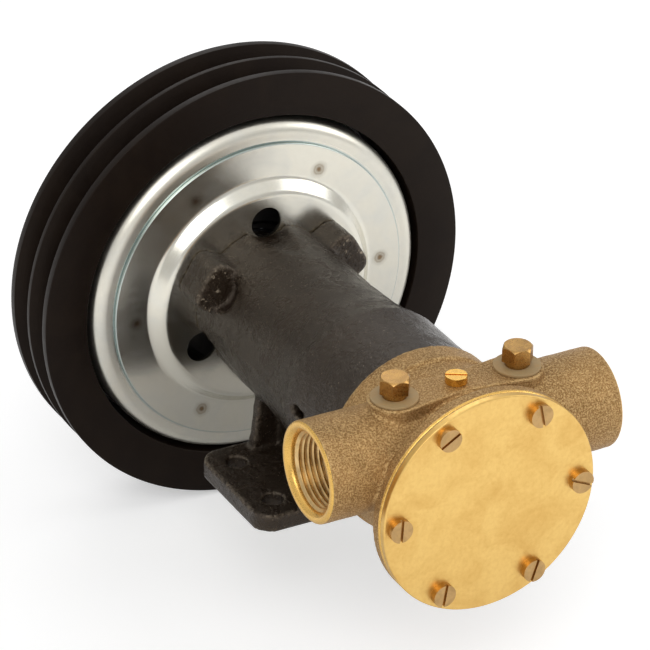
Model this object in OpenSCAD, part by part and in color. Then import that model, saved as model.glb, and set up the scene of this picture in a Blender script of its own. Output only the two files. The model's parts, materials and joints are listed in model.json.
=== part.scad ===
/* [Shaft line] */
// Height of the shaft above the mounting face of the foot
shaft_h = 53; // [50:0.5:60]
// Diameter of the shaft inside the impeller and seals
shaft_d = 16; // [15:0.1:16.4]
// Diameter of the shaft inside its ball bearings
journal_d = 17; // [16.6:0.1:17.6]

/* [Impeller chamber] */
// Outside diameter of the rubber impeller
impeller_d = 65; // [62:0.5:66]
// Width of the rubber impeller
impeller_w = 50.6; // [48:0.2:53]
// Number of rubber blades
blade_count = 10; // [6:1:12]
// Thickness of a blade at its root
blade_t = 3.4; // [2.6:0.2:4]
// Outside diameter of the rubber round the impeller's metal insert
impeller_hub_d = 30; // [28:0.5:32]
// Thickness of the cam at its middle
cam_h = 5; // [4:0.25:6]
// Wall of the chamber between the ports and the back
chamber_wall = 5.7; // [5:0.1:6.5]
// Thickness of the wear plate behind the impeller
wear_t = 1.2; // [0.8:0.1:2]
// Thickness of the body's wall behind the wear plate
back_wall_t = 4.8; // [4.4:0.1:6]

/* [Cover] */
// Diameter of the end cover
cover_d = 96; // [94:0.5:98]
// Thickness of the end cover
cover_t = 3; // [2:0.25:4]
// Thickness of the paper gasket behind the cover
gasket_t = 0.5; // [0.2:0.1:1]
// Thickness of the body's flange behind the gasket
flange_t = 5.5; // [4.5:0.25:7]
// Number of cover screws
cover_screw_count = 6; // [4:1:8]
// Thread diameter of a cover screw
cover_screw_d = 6; // [5:0.5:6]
// Diameter of a cover screw's head
cover_head_d = 9.8; // [9:0.1:10.4]
// Height of a cover screw's head
cover_head_h = 2.9; // [2.2:0.1:3.6]

/* [Ports] */
// Length of the port tube from face to face
port_len = 133.2; // [126:0.4:150]
// Outside diameter of the port tube
port_d = 42; // [40:0.5:43]
// Major diameter of the pipe thread in each port
port_thread_d = 33.25; // [31:0.25:34]
// Depth of the thread from the port's face
port_thread_depth = 18; // [15:0.5:20]
// Diameter of the waterway from the thread to the chamber
waterway_d = 28; // [25:0.5:29]
// Height of the port tube's axis above the shaft
port_rise = 16.3; // [15:0.1:17]
// Distance of each plug from the middle of the body
plug_x = 28; // [26:0.5:32]
// Thread diameter of a plug
plug_d = 9.6; // [8:0.2:11]
// Width across the flats of a plug's hexagon
plug_flats = 11.4; // [10:0.2:13]
// Outside diameter of a plug's washer
plug_washer_d = 19.4; // [17:0.2:21]

/* [Bearing housing] */
// Length of the housing from the body's joint to the clutch's face
housing_len = 129.5; // [126:0.5:140]
// Diameter of the collar next to the pump body
collar_d = 76.8; // [75:0.2:79]
// Length of the collar
collar_len = 38; // [37:0.5:42]
// Diameter of the housing between the collar and the ears
barrel_d = 66.8; // [64:0.2:70]
// Outside diameter of the two shaft bearings
bearing_d = 40; // [39:0.5:42]
// Width of a shaft bearing
bearing_w = 12; // [11:0.5:13]
// Ball diameter in a shaft bearing
bearing_ball_d = 6.6; // [6:0.2:7]
// Distance between the two shaft bearings
bearing_span = 46; // [40:1:50]
// Width of the weep slot in the collar
weep_w = 4; // [3:0.25:6]
// Length of the weep slot along the collar
weep_len = 9; // [6:0.5:10]

/* [Foot] */
// Width of the foot across the pump
foot_w = 105; // [100:1:115]
// Length of the foot along the pump
foot_len = 59; // [52:1:64]
// Thickness of the foot
foot_t = 8; // [6:0.5:10]
// Corner radius of the foot
foot_corner_r = 9.5; // [6:0.5:12]
// Spacing of the bolt holes across the pump
foot_hole_x = 80; // [76:1:84]
// Spacing of the bolt holes along the pump
foot_hole_y = 33; // [30:1:38]
// Diameter of a bolt hole in the foot
foot_hole_d = 9; // [7:0.5:10]

/* [Clutch] */
// Outside diameter of the plate that carries the coil
plate_d = 138.1; // [134:0.5:142]
// Thickness of that plate
plate_t = 1.6; // [1.2:0.1:2]
// Outside diameter of the coil's steel shell
shell_d = 156.4; // [153:0.4:158]
// Wall of the coil's steel shell
shell_wall = 3; // [2:0.25:4]
// Diameter of the nose that carries the pulley's bearing
nose_d = 40; // [38:0.5:41]
// Outside diameter of the pulley's bearing
pulley_bearing_d = 62; // [60:0.5:64]
// Width of the pulley's bearing
pulley_bearing_w = 24; // [22:0.5:25]
// Thickness of the armature plate
armature_t = 4.6; // [3.6:0.2:6]
// Gap between the pulley's friction face and the armature plate
air_gap = 0.5; // [0.3:0.05:0.8]

/* [Pulley] */
// Outside diameter of the pulley
pulley_d = 199.6; // [194:0.4:206]
// Distance between the middles of the two belt grooves
groove_pitch = 15; // [14:0.25:16]
// Distance from a groove's middle to the pulley's edge
groove_edge = 10; // [9:0.25:11]
// Width of a belt groove at the pulley's rim
groove_w = 12.7; // [11:0.1:13]
// Depth of a belt groove
groove_depth = 12.2; // [10:0.2:13]
// Diameter of the pulley's bore round the coil
pulley_bore_d = 160.8; // [160.8:0.2:163]

/* [Hidden] */
$fn = 96;

// Overrun of a cut past the face that it leaves
over = 0.5;
// Gap between pieces that are fitted together and don't turn
fit = 0.02;
// Radial gap between pieces that turn in each other
run = 0.05;
// Gap between a rubber piece and a metal one that it turns past
soft_gap = 0.3;
// Play between the impeller's ends and its chamber
end_play = 0.2;
// Gap between the impeller's blades and the chamber
tip_gap = 0.5;

// Where things stand along the shaft, from the front of the cover
body_s = cover_t + gasket_t;
chamber_r = impeller_d / 2 + tip_gap;
wall_s = body_s + impeller_w + wear_t + 2 * end_play;
body_end_s = wall_s + back_wall_t;
port_s = (body_s + wall_s) / 2;
joint_gasket_t = 0.5;
housing_s = body_end_s + joint_gasket_t;
collar_end_s = housing_s + collar_len;
mount_s = housing_s + housing_len;
foot_back = 62;
foot_s = housing_s + foot_back;

// Cover and its screws
screw_edge = 6.6;
screw_circle_r = cover_d / 2 - screw_edge;
slot_w = 1.2;
slot_depth = 1.3;
slot_angles = [-25, -78, 31, -93, -99, -108];
cover_edge = 0.4;
screw_end_gap = 0.3;

// Body casting
barrel_r = chamber_r + chamber_wall;
body_collar_step = 1.3;
body_collar_r = barrel_r + body_collar_step;
body_collar_len = 10.5;
flange_back_len = 5;
flange_back_step = 3.3;
flange_back_r = barrel_r + flange_back_step;
port_edge = 0.8;
port_mouth = 1.8;
waterway_end_x = 20;
pad_top = 40.4;
pad_waist_share = 0.64;
boss_d = 21.8;
pad_drop = pad_top - port_rise;
spigot_r = 22.5;
spigot_len = 5.5;
seal_bore_r = 15.5;
seal_hub_r = 20;
seal_hub_len = 17;
seal_hub_end_s = housing_s + seal_hub_len;
seal_floor_t = 3;
seal_floor_s = seal_hub_end_s - seal_floor_t;
shaft_play = 0.6;
shaft_r = shaft_d / 2;
journal_r = journal_d / 2;

// Screws that join the body to the housing
body_screw_d = 5;
body_screw_head_d = 9.4;
body_screw_head_h = 2.6;
body_screw_r = 27.6;
body_screw_len = 15;
body_screw_count = 4;
body_screw_angle = 45;
body_screw_run_out = 1;
socket_share = 0.55;
socket_depth = 1.6;

// Cam, its screw and the wear plate
cam_half_angle = 45;
top_angle = 90;
cam_r = chamber_r - fit;
cam_back = (2 * cam_r * cam_h - cam_h ^ 2)
         / (2 * cam_r * (1 - cos(cam_half_angle)) - 2 * cam_h);
cam_face_r = cam_r - cam_h + cam_back;
cam_half_w = 19.5;
cam_screw_d = 6;
cam_screw_head_d = 9.1;
cam_screw_head_h = 3.4;
cam_screw_end = 1.2;
cam_slot_angle = 30;
wear_hole_r = 12.8;
pin_d = 3;
pin_out = 0.9;
pin_r = 23;
pin_angle = 255;
pin_depth = 3.4;

// Impeller
insert_r = 12;
key_w = 5;
key_len = 22;
key_depth_share = 0.52;
key_high = key_w * (1 - key_depth_share);
key_low = key_w * key_depth_share;
blade_steps = 8;
blade_tip_r = 2;
blade_neck_share = 0.62;
blade_reach = impeller_d / 2 - blade_tip_r;
blade_root_depth = 2;
blade_root_r = impeller_hub_d / 2 - blade_root_depth;
blade_angle = 12;
blade_bend_angle = 130;
blade_bend_halvings = 12;
straight_angle = 0.01;
insert_s = body_s + end_play;
impeller_end_s = insert_s + impeller_w;
key_s = insert_s + (impeller_w - key_len) / 2;

// Plugs and their washers
plug_washer_t = 1;
plug_thread_out = 0.4;
plug_neck_h = 2;
plug_neck_d = 9.6;
plug_head_h = 6.7;
plug_bevel = 0.2;
plug_crown_r = plug_flats / 2 - plug_bevel;
plug_shank_gap = 1;
plug_angles = [-4, 48];

// Mechanical seal
spring_washer_t = 1.2;
spring_washer_gap = 0.4;
spring_washer_r = wear_hole_r - spring_washer_gap;
spring_washer_s = impeller_end_s + fit;
spring_mean_r = 10.8;
spring_wire_r = 0.7;
spring_turns = 4;
spring_rings = 12;
spring_sides = 6;
spring_len = 7.6;
spring_s = spring_washer_s + spring_washer_t;
head_s = spring_s + spring_len;
head_r = 13.4;
face_r_out = 12.2;
face_r_in = 9.2;
seat_t = 4.6;
seat_cup_t = 0.5;
seat_s = seal_floor_s - seat_cup_t - seat_t;
seat_cup_len = 4.4;
seat_cup_gap = 1;
seat_r = 12.9;
nose_len_seal = 2.4;

// Bearings and seals in the housing
cavity_len = 35;
cavity_end_s = housing_s + cavity_len;
weep_angles = [174, 6];
weep_back = 25;
weep_s = housing_s + weep_back;
slinger_back = 23;
slinger_s = housing_s + slinger_back;
slinger_t = 4;
slinger_r = 14;
slinger_lip = 3;
slinger_lip_share = 0.33;
oil_seal_t = 7;
oil_seal_gap = 0.5;
oil_seal_wall = 3;
oil_seal_lip = 2;
oil_seal_s = cavity_end_s + oil_seal_gap;
bearing_r = bearing_d / 2;
circlip_t = 1.75;
circlip_gap = 0.4;
circlip_s = oil_seal_s + oil_seal_t + circlip_gap;
circlip_bite = 1.2;
circlip_band = 3.4;
circlip_mouth_angle = 40;
shaft_clip_out = 2.8;
shaft_clip_in = 0.8;
nose_clip_out = 2.6;
rotor_clip_in = 1.8;
front_bearing_s = circlip_s + circlip_t + fit;
rear_bearing_s = front_bearing_s + bearing_w + bearing_span;
rear_stop_s = rear_bearing_s + bearing_w;
ball_count = 8;
shoulder_share = 0.28;
cage_gap = 0.4;
cage_side = 0.9;
spacer_r = 11;
relief_r = 25;
relief_margin = 4;
shaft_stop_r = 10.4;
shaft_stop_len = 4;
nose_bore_r = 11;
shaft_end_gap = 1;

// Outside of the bearing housing
shoulder_r = 36.6;
shoulder_len = 6;
waist_len = 20;
waist_r = 34.6;
taper_len = 43;
ear_count = 3;
ear_angle = 30;
ear_w = 22;
ear_reach = 43.6;
ear_corner_r = 5.5;
ear_len = 16;
bolt_circle_r = 35.3;
bolt_hole_len = 14;
scoop_r = 8.4;
scoop_circle_r = 36.5;
scoop_len = 2;
valley_r = 14;
valley_floor_r = 29;
valley_len = 34;
valley_over = 5;
valley_angle = 9;

// Pedestal under the housing
rib_t = 5;
rib_foot_half_w = 30;
rib_top_half_w = 26.5;
rib_top_drop = 20;
rib_back = 26.5;
rib_front = 26;
web_half_w = 17;
web_drop = 22;

// Coil and its carrier
clutch_bolt_d = 8;
clutch_hex_flats = 13;
clutch_head_h = 5.3;
bolt_gap = 1.5;
shoulder_rise = 5;
shoulder_corner_r = 5;
corner_steps = 8;
plate_flat_r = 50.6;
plate_s = mount_s + shoulder_rise;
shell_s = plate_s + plate_t;
bolt_seat_s = mount_s + plate_t + fit;
nose_step = 2.5;
nose_step_r = nose_d / 2 + nose_step;
plate_hole_d = 14;
shell_corner_r = 8;
shell_r = shell_d / 2;
shell_in_r = 50.8;
shell_len = 29;
shell_end_s = shell_s + shell_len;
winding_margin = 2;
winding_len = 20;
winding_s = shell_s + shell_wall + winding_margin;
winding_r_in = shell_in_r + shell_wall + winding_margin;
winding_r_out = shell_r - shell_wall - winding_margin;
grommet_angle = 311;
grommet_circle_r = 60;
grommet_hole_r = 4;
grommet_lip_r = 6;
grommet_bore_r = 1.6;
grommet_lip_t = 1.2;

// Pulley, rotor and their bearing
pulley_w = 2 * groove_edge + groove_pitch;
rim_back = 2.3;
pulley_s = shell_s + rim_back;
pulley_end_s = pulley_s + pulley_w;
groove_angle = 19;
rim_edge = 0.5;
web_t = 6;
web_s = pulley_end_s - web_t;
pulley_bearing_r = pulley_bearing_d / 2;
rotor_hub_wall = 7;
rotor_hub_r = pulley_bearing_r + rotor_hub_wall;
bearing_into_web = 0.6;
pulley_bearing_s = web_s - pulley_bearing_w + bearing_into_web;
rotor_lip = 1.6;
rotor_lip_r = pulley_bearing_r - rotor_lip;
rotor_lip_t = 2;
pulley_ball_d = 6.4;
pulley_ball_count = 16;
pulley_row_offset = 5.6;
nose_tail = 3;
nose_end_s = pulley_bearing_s + pulley_bearing_w + nose_tail;
nose_clip_s = pulley_bearing_s + pulley_bearing_w + fit;
slot_count = 6;
slot_sweep_angle = 42;
slot_mid_r = 64;
slot_half_w = 2;
window_count = 3;
window_r = 5;
window_circle_r = 45.5;

// Armature, hub and what holds them
armature_s = pulley_end_s + air_gap + fit;
armature_r_in = 50;
armature_r_out = 77.5;
leaf_t = 0.8;
leaf_s = armature_s + armature_t + fit;
leaf_w = 10;
leaf_r_hub = 34;
leaf_r_out = 62;
leaf_angle = 38;
leaf_count = 3;
hub_flange_s = leaf_s + leaf_t + fit;
hub_flange_t = 3.2;
hub_flange_r = 40;
hub_boss_r = 14;
hub_gap = 1.2;
hub_boss_s = nose_end_s + hub_gap;
hub_tail = 4;
hub_end_s = hub_flange_s + hub_flange_t + hub_tail;
rivet_d = 5;
rivet_head_d = 8;
rivet_head_h = 1.8;
hub_washer_t = 2;
hub_washer_r = 11;
hub_bolt_d = 8;
hub_bolt_len = 24;
hub_bolt_head_h = 5.3;
hub_key_len = 8;
hub_key_gap = 2.5;
hub_key_s = hub_boss_s + hub_key_gap;

// Places its children along the shaft: z runs to the pulley and y points down
module on_shaft() {
    translate([0, -foot_s, shaft_h]) rotate([-90, 0, 0]) children();
}

// Turns its children to an angle from the right-hand port, and moves them out
module at_angle(angle, r) {
    rotate(-angle) translate([r, 0, 0]) children();
}

// Repeats its children evenly round the shaft
module around(count, start, r) {
    for (i = [0 : count - 1]) at_angle(start + i * 360 / count, r) children();
}

module disc(r, from, to) {
    translate([0, 0, from]) cylinder(r = r, h = to - from);
}

module ring(r_out, r_in, from, to) {
    difference() {
        disc(r_out, from, to);
        disc(r_in, from - over, to + over);
    }
}

module hexagon(flats, from, to) {
    translate([0, 0, from]) cylinder(d = flats / cos(30), h = to - from, $fn = 6);
}

// Square bar that stands at the top of the shaft
module key_bar(r_low, r_high, width, from, to) {
    translate([-width / 2, -r_high, from]) cube([width, r_high - r_low, to - from]);
}

// Points of an arc in an outline
function arc(x, y, r, from, to, steps) =
    [for (i = [0 : steps]) let (a = from + (to - from) * i / steps)
        [x + r * cos(a), y + r * sin(a)]];

// One face of a bearing's race, cut by the balls' path
module ball_path(pitch_r, ball_r, s) {
    translate([0, 0, s]) rotate_extrude() translate([pitch_r, 0]) circle(r = ball_r + run);
}

function pitch_of(bore, outer) = (bore + outer) / 4;
function row_places(rows, offset, mid) =
    rows == 1 ? [mid] : [mid - offset, mid + offset];

module inner_race(bore, outer, width, ball_d, s, rows, offset) {
    pitch_r = pitch_of(bore, outer);
    difference() {
        ring(pitch_r - ball_d * shoulder_share, bore / 2 + fit, s, s + width);
        for (z = row_places(rows, offset, s + width / 2)) ball_path(pitch_r, ball_d / 2, z);
    }
}

module outer_race(bore, outer, width, ball_d, s, rows, offset) {
    pitch_r = pitch_of(bore, outer);
    difference() {
        ring(outer / 2 - fit, pitch_r + ball_d * shoulder_share, s, s + width);
        for (z = row_places(rows, offset, s + width / 2)) ball_path(pitch_r, ball_d / 2, z);
    }
}

module race_balls(bore, outer, width, ball_d, s, rows, offset, count) {
    for (z = row_places(rows, offset, s + width / 2))
        around(count, 0, pitch_of(bore, outer)) translate([0, 0, z]) sphere(d = ball_d);
}

module race_cage(bore, outer, width, ball_d, s, rows, offset, count) {
    pitch_r = pitch_of(bore, outer);
    half = ball_d * shoulder_share - cage_gap;
    for (z = row_places(rows, offset, s + width / 2)) difference() {
        ring(pitch_r + half, pitch_r - half, z - ball_d / 2 - cage_side, z + ball_d / 2 + cage_side);
        around(count, 0, pitch_r) translate([-ball_d / 2, 0, z])
            rotate([0, 90, 0]) cylinder(d = ball_d + 2 * run, h = ball_d);
    }
}

// Open ring that springs into a groove
module circlip(r_out, r_in, from, to) {
    difference() {
        ring(r_out, r_in, from, to);
        rotate(90 - circlip_mouth_angle / 2) translate([0, 0, from - over])
            rotate_extrude(angle = circlip_mouth_angle) translate([r_in - over, 0])
                square([r_out - r_in + 2 * over, to - from + 2 * over]);
    }
}

// Slotted screw that points along z, with its head below the start
module slotted_screw(d, len, head_d, head_h, turn) {
    difference() {
        union() {
            disc(d / 2 - fit, 0, len);
            disc(head_d / 2, -head_h, 0);
        }
        rotate(turn) translate([-head_d, -slot_w / 2, -head_h - over])
            cube([2 * head_d, slot_w, slot_depth + over]);
    }
}

module end_cover() {
    color("#e3bf68") on_shaft() difference() {
        union() {
            disc(cover_d / 2, cover_edge, cover_t);
            cylinder(r1 = cover_d / 2 - cover_edge, r2 = cover_d / 2, h = cover_edge);
        }
        around(cover_screw_count, 0, screw_circle_r) disc(cover_screw_d / 2 + fit, -over, cover_t + over);
    }
}

module cover_gasket() {
    color("#6d6a5c") on_shaft() difference() {
        ring(cover_d / 2 - cover_edge, chamber_r, cover_t, body_s);
        around(cover_screw_count, 0, screw_circle_r) disc(cover_screw_d / 2 + fit, 0, body_s + over);
    }
}

module cover_screws() {
    color("#c79a4e") on_shaft() for (i = [0 : cover_screw_count - 1])
        at_angle(i * 360 / cover_screw_count, screw_circle_r)
            rotate(i * 360 / cover_screw_count)
                slotted_screw(cover_screw_d, body_s + flange_t - screw_end_gap, cover_head_d,
                              cover_head_h, -slot_angles[i % len(slot_angles)]);
}

// Outline of the pad that joins the two plug bosses, seen from above
module pad_outline() {
    waist = boss_d / 2 * pad_waist_share;
    for (side = [-1, 1]) translate([side * plug_x, 0]) circle(d = boss_d);
    polygon([
        [-plug_x, boss_d / 2], [0, waist], [plug_x, boss_d / 2],
        [plug_x, -boss_d / 2], [0, -waist], [-plug_x, -boss_d / 2]
    ]);
}

// Cylinder along the ports, from the middle of the body
module port_bar(r, from, to) {
    translate([from, port_s - foot_s, shaft_h + port_rise])
        rotate([0, 90, 0]) cylinder(r = r, h = to - from);
}

module port_tube() {
    half = port_len / 2;
    port_bar(port_d / 2, -half + port_edge, half - port_edge);
    for (side = [0, 180]) translate([0, port_s - foot_s, 0]) rotate(side) translate([0, foot_s - port_s, 0])
        translate([half - port_edge, port_s - foot_s, shaft_h + port_rise])
            rotate([0, 90, 0]) cylinder(r1 = port_d / 2, r2 = port_d / 2 - port_edge, h = port_edge);
}

// Thread, mouth and waterway of the port on one side
module port_bore() {
    half = port_len / 2;
    port_bar(port_thread_d / 2, half - port_thread_depth, half + over);
    port_bar(waterway_d / 2, waterway_end_x, half - port_thread_depth + over);
    translate([half - port_mouth, port_s - foot_s, shaft_h + port_rise])
        rotate([0, 90, 0]) cylinder(r1 = port_thread_d / 2, r2 = port_thread_d / 2 + port_mouth,
                                    h = port_mouth + fit);
}

module pump_body() {
    color("#a58755") difference() {
        union() {
            on_shaft() {
                disc(cover_d / 2, body_s, body_s + flange_t);
                translate([0, 0, body_s + flange_t])
                    cylinder(r1 = cover_d / 2, r2 = flange_back_r, h = flange_back_len);
                disc(barrel_r, body_s, body_end_s);
                disc(body_collar_r, body_end_s - body_collar_len, body_end_s);
                disc(spigot_r - fit, body_end_s, housing_s + spigot_len);
                disc(seal_hub_r, body_end_s, seal_hub_end_s);
            }
            port_tube();
            translate([0, port_s - foot_s, shaft_h + port_rise])
                linear_extrude(pad_drop) pad_outline();
        }
        on_shaft() {
            disc(chamber_r, body_s - over, wall_s);
            disc(seal_bore_r, wall_s - over, seal_floor_s);
            disc(shaft_r + shaft_play, seal_floor_s - over, seal_hub_end_s + over);
            around(cover_screw_count, 0, screw_circle_r)
                disc(cover_screw_d / 2, body_s - over, body_s + flange_t + flange_back_len);
            around(body_screw_count, body_screw_angle, body_screw_r) {
                disc(body_screw_d / 2, wall_s - over, body_end_s + over);
                translate([0, 0, wall_s])
                    cylinder(d1 = body_screw_head_d + 2 * fit, d2 = body_screw_d,
                             h = body_screw_head_h + fit);
            }
            at_angle(pin_angle, pin_r) disc(pin_d / 2, wall_s - over, wall_s + pin_depth);
        }
        port_bore();
        translate([0, 2 * (port_s - foot_s), 0]) rotate(180) port_bore();
        for (side = [-1, 1]) translate([side * plug_x, port_s - foot_s, shaft_h + port_rise])
            cylinder(d = plug_d, h = pad_drop + over);
        translate([0, port_s - foot_s, shaft_h + port_rise])
            cylinder(d = cam_screw_d, h = pad_drop + over);
    }
}

// Inner face of the cam, as a radius from the shaft at an angle from the top
function cam_limit(angle) =
    abs(angle) > cam_half_angle ? impeller_d / 2
    : min(impeller_d / 2,
          sqrt(cam_face_r ^ 2 - (cam_back * sin(angle)) ^ 2) - cam_back * cos(angle) - soft_gap);

module cam() {
    screw_hole_top = shaft_h + chamber_r;
    color("#b08a4a") difference() {
        intersection() {
            on_shaft() difference() {
                disc(cam_r, body_s + fit, wall_s - wear_t - fit);
                translate([0, cam_back, 0]) disc(cam_face_r, body_s - over, wall_s + over);
            }
            translate([-cam_half_w, -foot_s, shaft_h]) cube([2 * cam_half_w, wall_s, cam_r]);
        }
        translate([0, port_s - foot_s, screw_hole_top - cam_h + cam_screw_end])
            cylinder(d = cam_screw_d, h = cam_h);
    }
}

module cam_screw() {
    len = pad_top - chamber_r + cam_h - cam_screw_end - fit;
    color("#dcae57") translate([0, port_s - foot_s, shaft_h + pad_top]) rotate([180, 0, 0])
        slotted_screw(cam_screw_d, len, cam_screw_head_d, cam_screw_head_h, cam_slot_angle);
}

module wear_plate() {
    color("#b9b3a2") on_shaft() difference() {
        ring(chamber_r - fit, wear_hole_r, wall_s - wear_t, wall_s - fit);
        at_angle(pin_angle, pin_r) disc(pin_d / 2 + fit, 0, wall_s + over);
    }
}

module wear_plate_pin() {
    color("#c8c8c6") on_shaft() at_angle(pin_angle, pin_r)
        disc(pin_d / 2 - fit, wall_s - pin_out, wall_s + pin_depth - fit);
}

// Tip of a blade that has turned by the angle bend along its length
function blade_point(bend, t) =
    let (len = blade_reach - blade_root_r)
    abs(bend) < straight_angle ? [blade_root_r + len * t, 0]
    : [blade_root_r + len * sin(bend * t) / (bend * PI / 180),
       len * (1 - cos(bend * t)) / (bend * PI / 180)];

function tip_room(base, bend) =
    let (p = blade_point(bend, 1), a = base + atan2(p[1], p[0]))
    cam_limit(a - top_angle) - blade_tip_r - norm(p);

// Smallest bend at which the tip clears the cam, found by halving
function blade_bend(base, low, high, steps) =
    tip_room(base, 0) >= 0 ? 0
    : steps == 0 ? high
    : let (mid = (low + high) / 2)
      tip_room(base, mid) >= 0 ? blade_bend(base, low, mid, steps - 1)
                               : blade_bend(base, mid, high, steps - 1);

module blade(base) {
    bend = blade_bend(base, 0, blade_bend_angle, blade_bend_halvings);
    half = function (t) blade_t / 2 * (1 - t * (1 - blade_neck_share));
    side = [for (i = [0 : blade_steps]) let (t = i / blade_steps, p = blade_point(bend, t), a = bend * t)
        [p, [-sin(a), cos(a)] * half(t)]];
    outline = concat([for (q = side) q[0] + q[1]],
                     [for (i = [blade_steps : -1 : 0]) side[i][0] - side[i][1]]);
    rotate(base) {
        linear_extrude(impeller_w) polygon(outline);
        translate(blade_point(bend, 1)) cylinder(r = blade_tip_r, h = impeller_w);
    }
}

module impeller_rubber() {
    color("#26262a") on_shaft() difference() {
        translate([0, 0, insert_s]) mirror([0, 1, 0]) {
            cylinder(d = impeller_hub_d, h = impeller_w);
            for (i = [0 : blade_count - 1]) blade(blade_angle + i * 360 / blade_count);
        }
        disc(insert_r + fit, body_s - over, wall_s + over);
    }
}

module impeller_insert() {
    color("#b8924f") on_shaft() difference() {
        ring(insert_r, shaft_r + fit, insert_s, impeller_end_s);
        key_bar(0, shaft_r + key_high + fit, key_w + 2 * fit, insert_s - over, impeller_end_s + over);
    }
}

module impeller_key() {
    color("#8c8f92") on_shaft()
        key_bar(shaft_r - key_low + fit, shaft_r + key_high, key_w, key_s, key_s + key_len);
}

module port_plugs() {
    washer_z = pad_top + plug_washer_t;
    shank_low = port_rise + waterway_d / 2 + plug_shank_gap;
    color("#8f6a38") for (i = [0, 1]) translate([(2 * i - 1) * plug_x, port_s - foot_s, shaft_h]) {
        disc(plug_d / 2 - fit, shank_low, washer_z + plug_thread_out);
        disc(plug_neck_d / 2, washer_z + fit, washer_z + plug_neck_h + over);
        rotate(plug_angles[i]) intersection() {
            hexagon(plug_flats, washer_z + plug_neck_h, washer_z + plug_neck_h + plug_head_h);
            translate([0, 0, washer_z + plug_neck_h])
                cylinder(r1 = plug_crown_r + plug_head_h, r2 = plug_crown_r, h = plug_head_h);
        }
    }
}

module plug_washers() {
    color("#7d7350") for (side = [-1, 1])
        translate([side * plug_x, port_s - foot_s, shaft_h])
            ring(plug_washer_d / 2, plug_d / 2 + fit, pad_top + fit, pad_top + plug_washer_t);
}

module seal_seat() {
    color("#e8e4da") on_shaft() ring(seat_r - fit, face_r_in, seat_s, seat_s + seat_t);
}

module seal_seat_cup() {
    color("#222222") on_shaft() difference() {
        ring(seal_bore_r - fit, shaft_r + seat_cup_gap, seal_floor_s - seat_cup_len, seal_floor_s - fit);
        disc(seat_r, seat_s - over, seat_s + seat_t + fit);
    }
}

module seal_head() {
    color("#3b3b3d") on_shaft() difference() {
        union() {
            disc(head_r, head_s + fit, seat_s - nose_len_seal);
            disc(face_r_out, head_s + fit, seat_s - run);
        }
        disc(shaft_r + fit, head_s - over, seat_s + over);
        disc(face_r_in, seat_s - nose_len_seal, seat_s + over);
    }
}

// Closed tube along a helix
module coil(mean_r, wire_r, len, turns, rings, sides) {
    count = turns * rings;
    rise = len - 2 * wire_r - 2 * fit;
    points = [for (i = [0 : count], j = [0 : sides - 1])
        let (a = 360 * i / rings, b = 360 * j / sides, r = mean_r + wire_r * cos(b))
        [r * cos(a), r * sin(a), wire_r + fit + rise * i / count + wire_r * sin(b)]];
    skin = [for (i = [0 : count - 1], j = [0 : sides - 1])
        let (a = i * sides + j, b = i * sides + (j + 1) % sides)
        each [[a, b, b + sides], [a, b + sides, a + sides]]];
    first = [for (j = [1 : sides - 2]) [0, j + 1, j]];
    base = count * sides;
    last = [for (j = [1 : sides - 2]) [base, base + j, base + j + 1]];
    polyhedron(points, concat(skin, first, last));
}

module seal_spring() {
    color("#b4b6b8") on_shaft() translate([0, 0, spring_s])
        coil(spring_mean_r, spring_wire_r, spring_len, spring_turns, spring_rings, spring_sides);
}

module spring_washer() {
    color("#b4b6b8") on_shaft()
        ring(spring_washer_r, shaft_r + fit, spring_washer_s, spring_washer_s + spring_washer_t);
}

module joint_gasket() {
    color("#6d6a5c") on_shaft() difference() {
        ring(collar_d / 2 - cover_edge, spigot_r, body_end_s, housing_s);
        around(body_screw_count, body_screw_angle, body_screw_r)
            disc(body_screw_d / 2, wall_s, housing_s + over);
    }
}

module body_screws() {
    color("#9a9c9f") on_shaft() around(body_screw_count, body_screw_angle, body_screw_r) difference() {
        union() {
            translate([0, 0, wall_s + fit]) cylinder(d1 = body_screw_head_d, d2 = body_screw_d - 2 * fit,
                                                     h = body_screw_head_h);
            disc(body_screw_d / 2 - fit, wall_s + body_screw_head_h, wall_s + body_screw_len);
        }
        hexagon(body_screw_d * socket_share, wall_s - over, wall_s + socket_depth);
    }
}

module slinger() {
    color("#2a2a2a") on_shaft() union() {
        ring(slinger_r - slinger_lip, shaft_r + fit, slinger_s, slinger_s + slinger_t);
        ring(slinger_r, shaft_r + fit, slinger_s, slinger_s + slinger_t * slinger_lip_share);
    }
}

// Outline of the housing's turned outside, as radius and station
function housing_profile() = [
    [0, housing_s], [collar_d / 2, housing_s], [collar_d / 2, collar_end_s],
    [shoulder_r, collar_end_s + shoulder_len], [waist_r, collar_end_s + waist_len],
    [barrel_d / 2, collar_end_s + taper_len], [barrel_d / 2, mount_s], [0, mount_s]
];

// Outline of an ear across the shaft, with its outer corners rounded
module ear_outline() {
    half = ear_w / 2;
    translate([0, -half]) square([ear_reach - ear_corner_r, 2 * half]);
    translate([0, ear_corner_r - half]) square([ear_reach, 2 * (half - ear_corner_r)]);
    for (side = [-1, 1]) translate([ear_reach - ear_corner_r, side * (half - ear_corner_r)])
        circle(r = ear_corner_r);
}

module ears() {
    around(ear_count, ear_angle, 0) translate([0, 0, mount_s - ear_len])
        linear_extrude(ear_len - fit) ear_outline();
}

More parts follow.
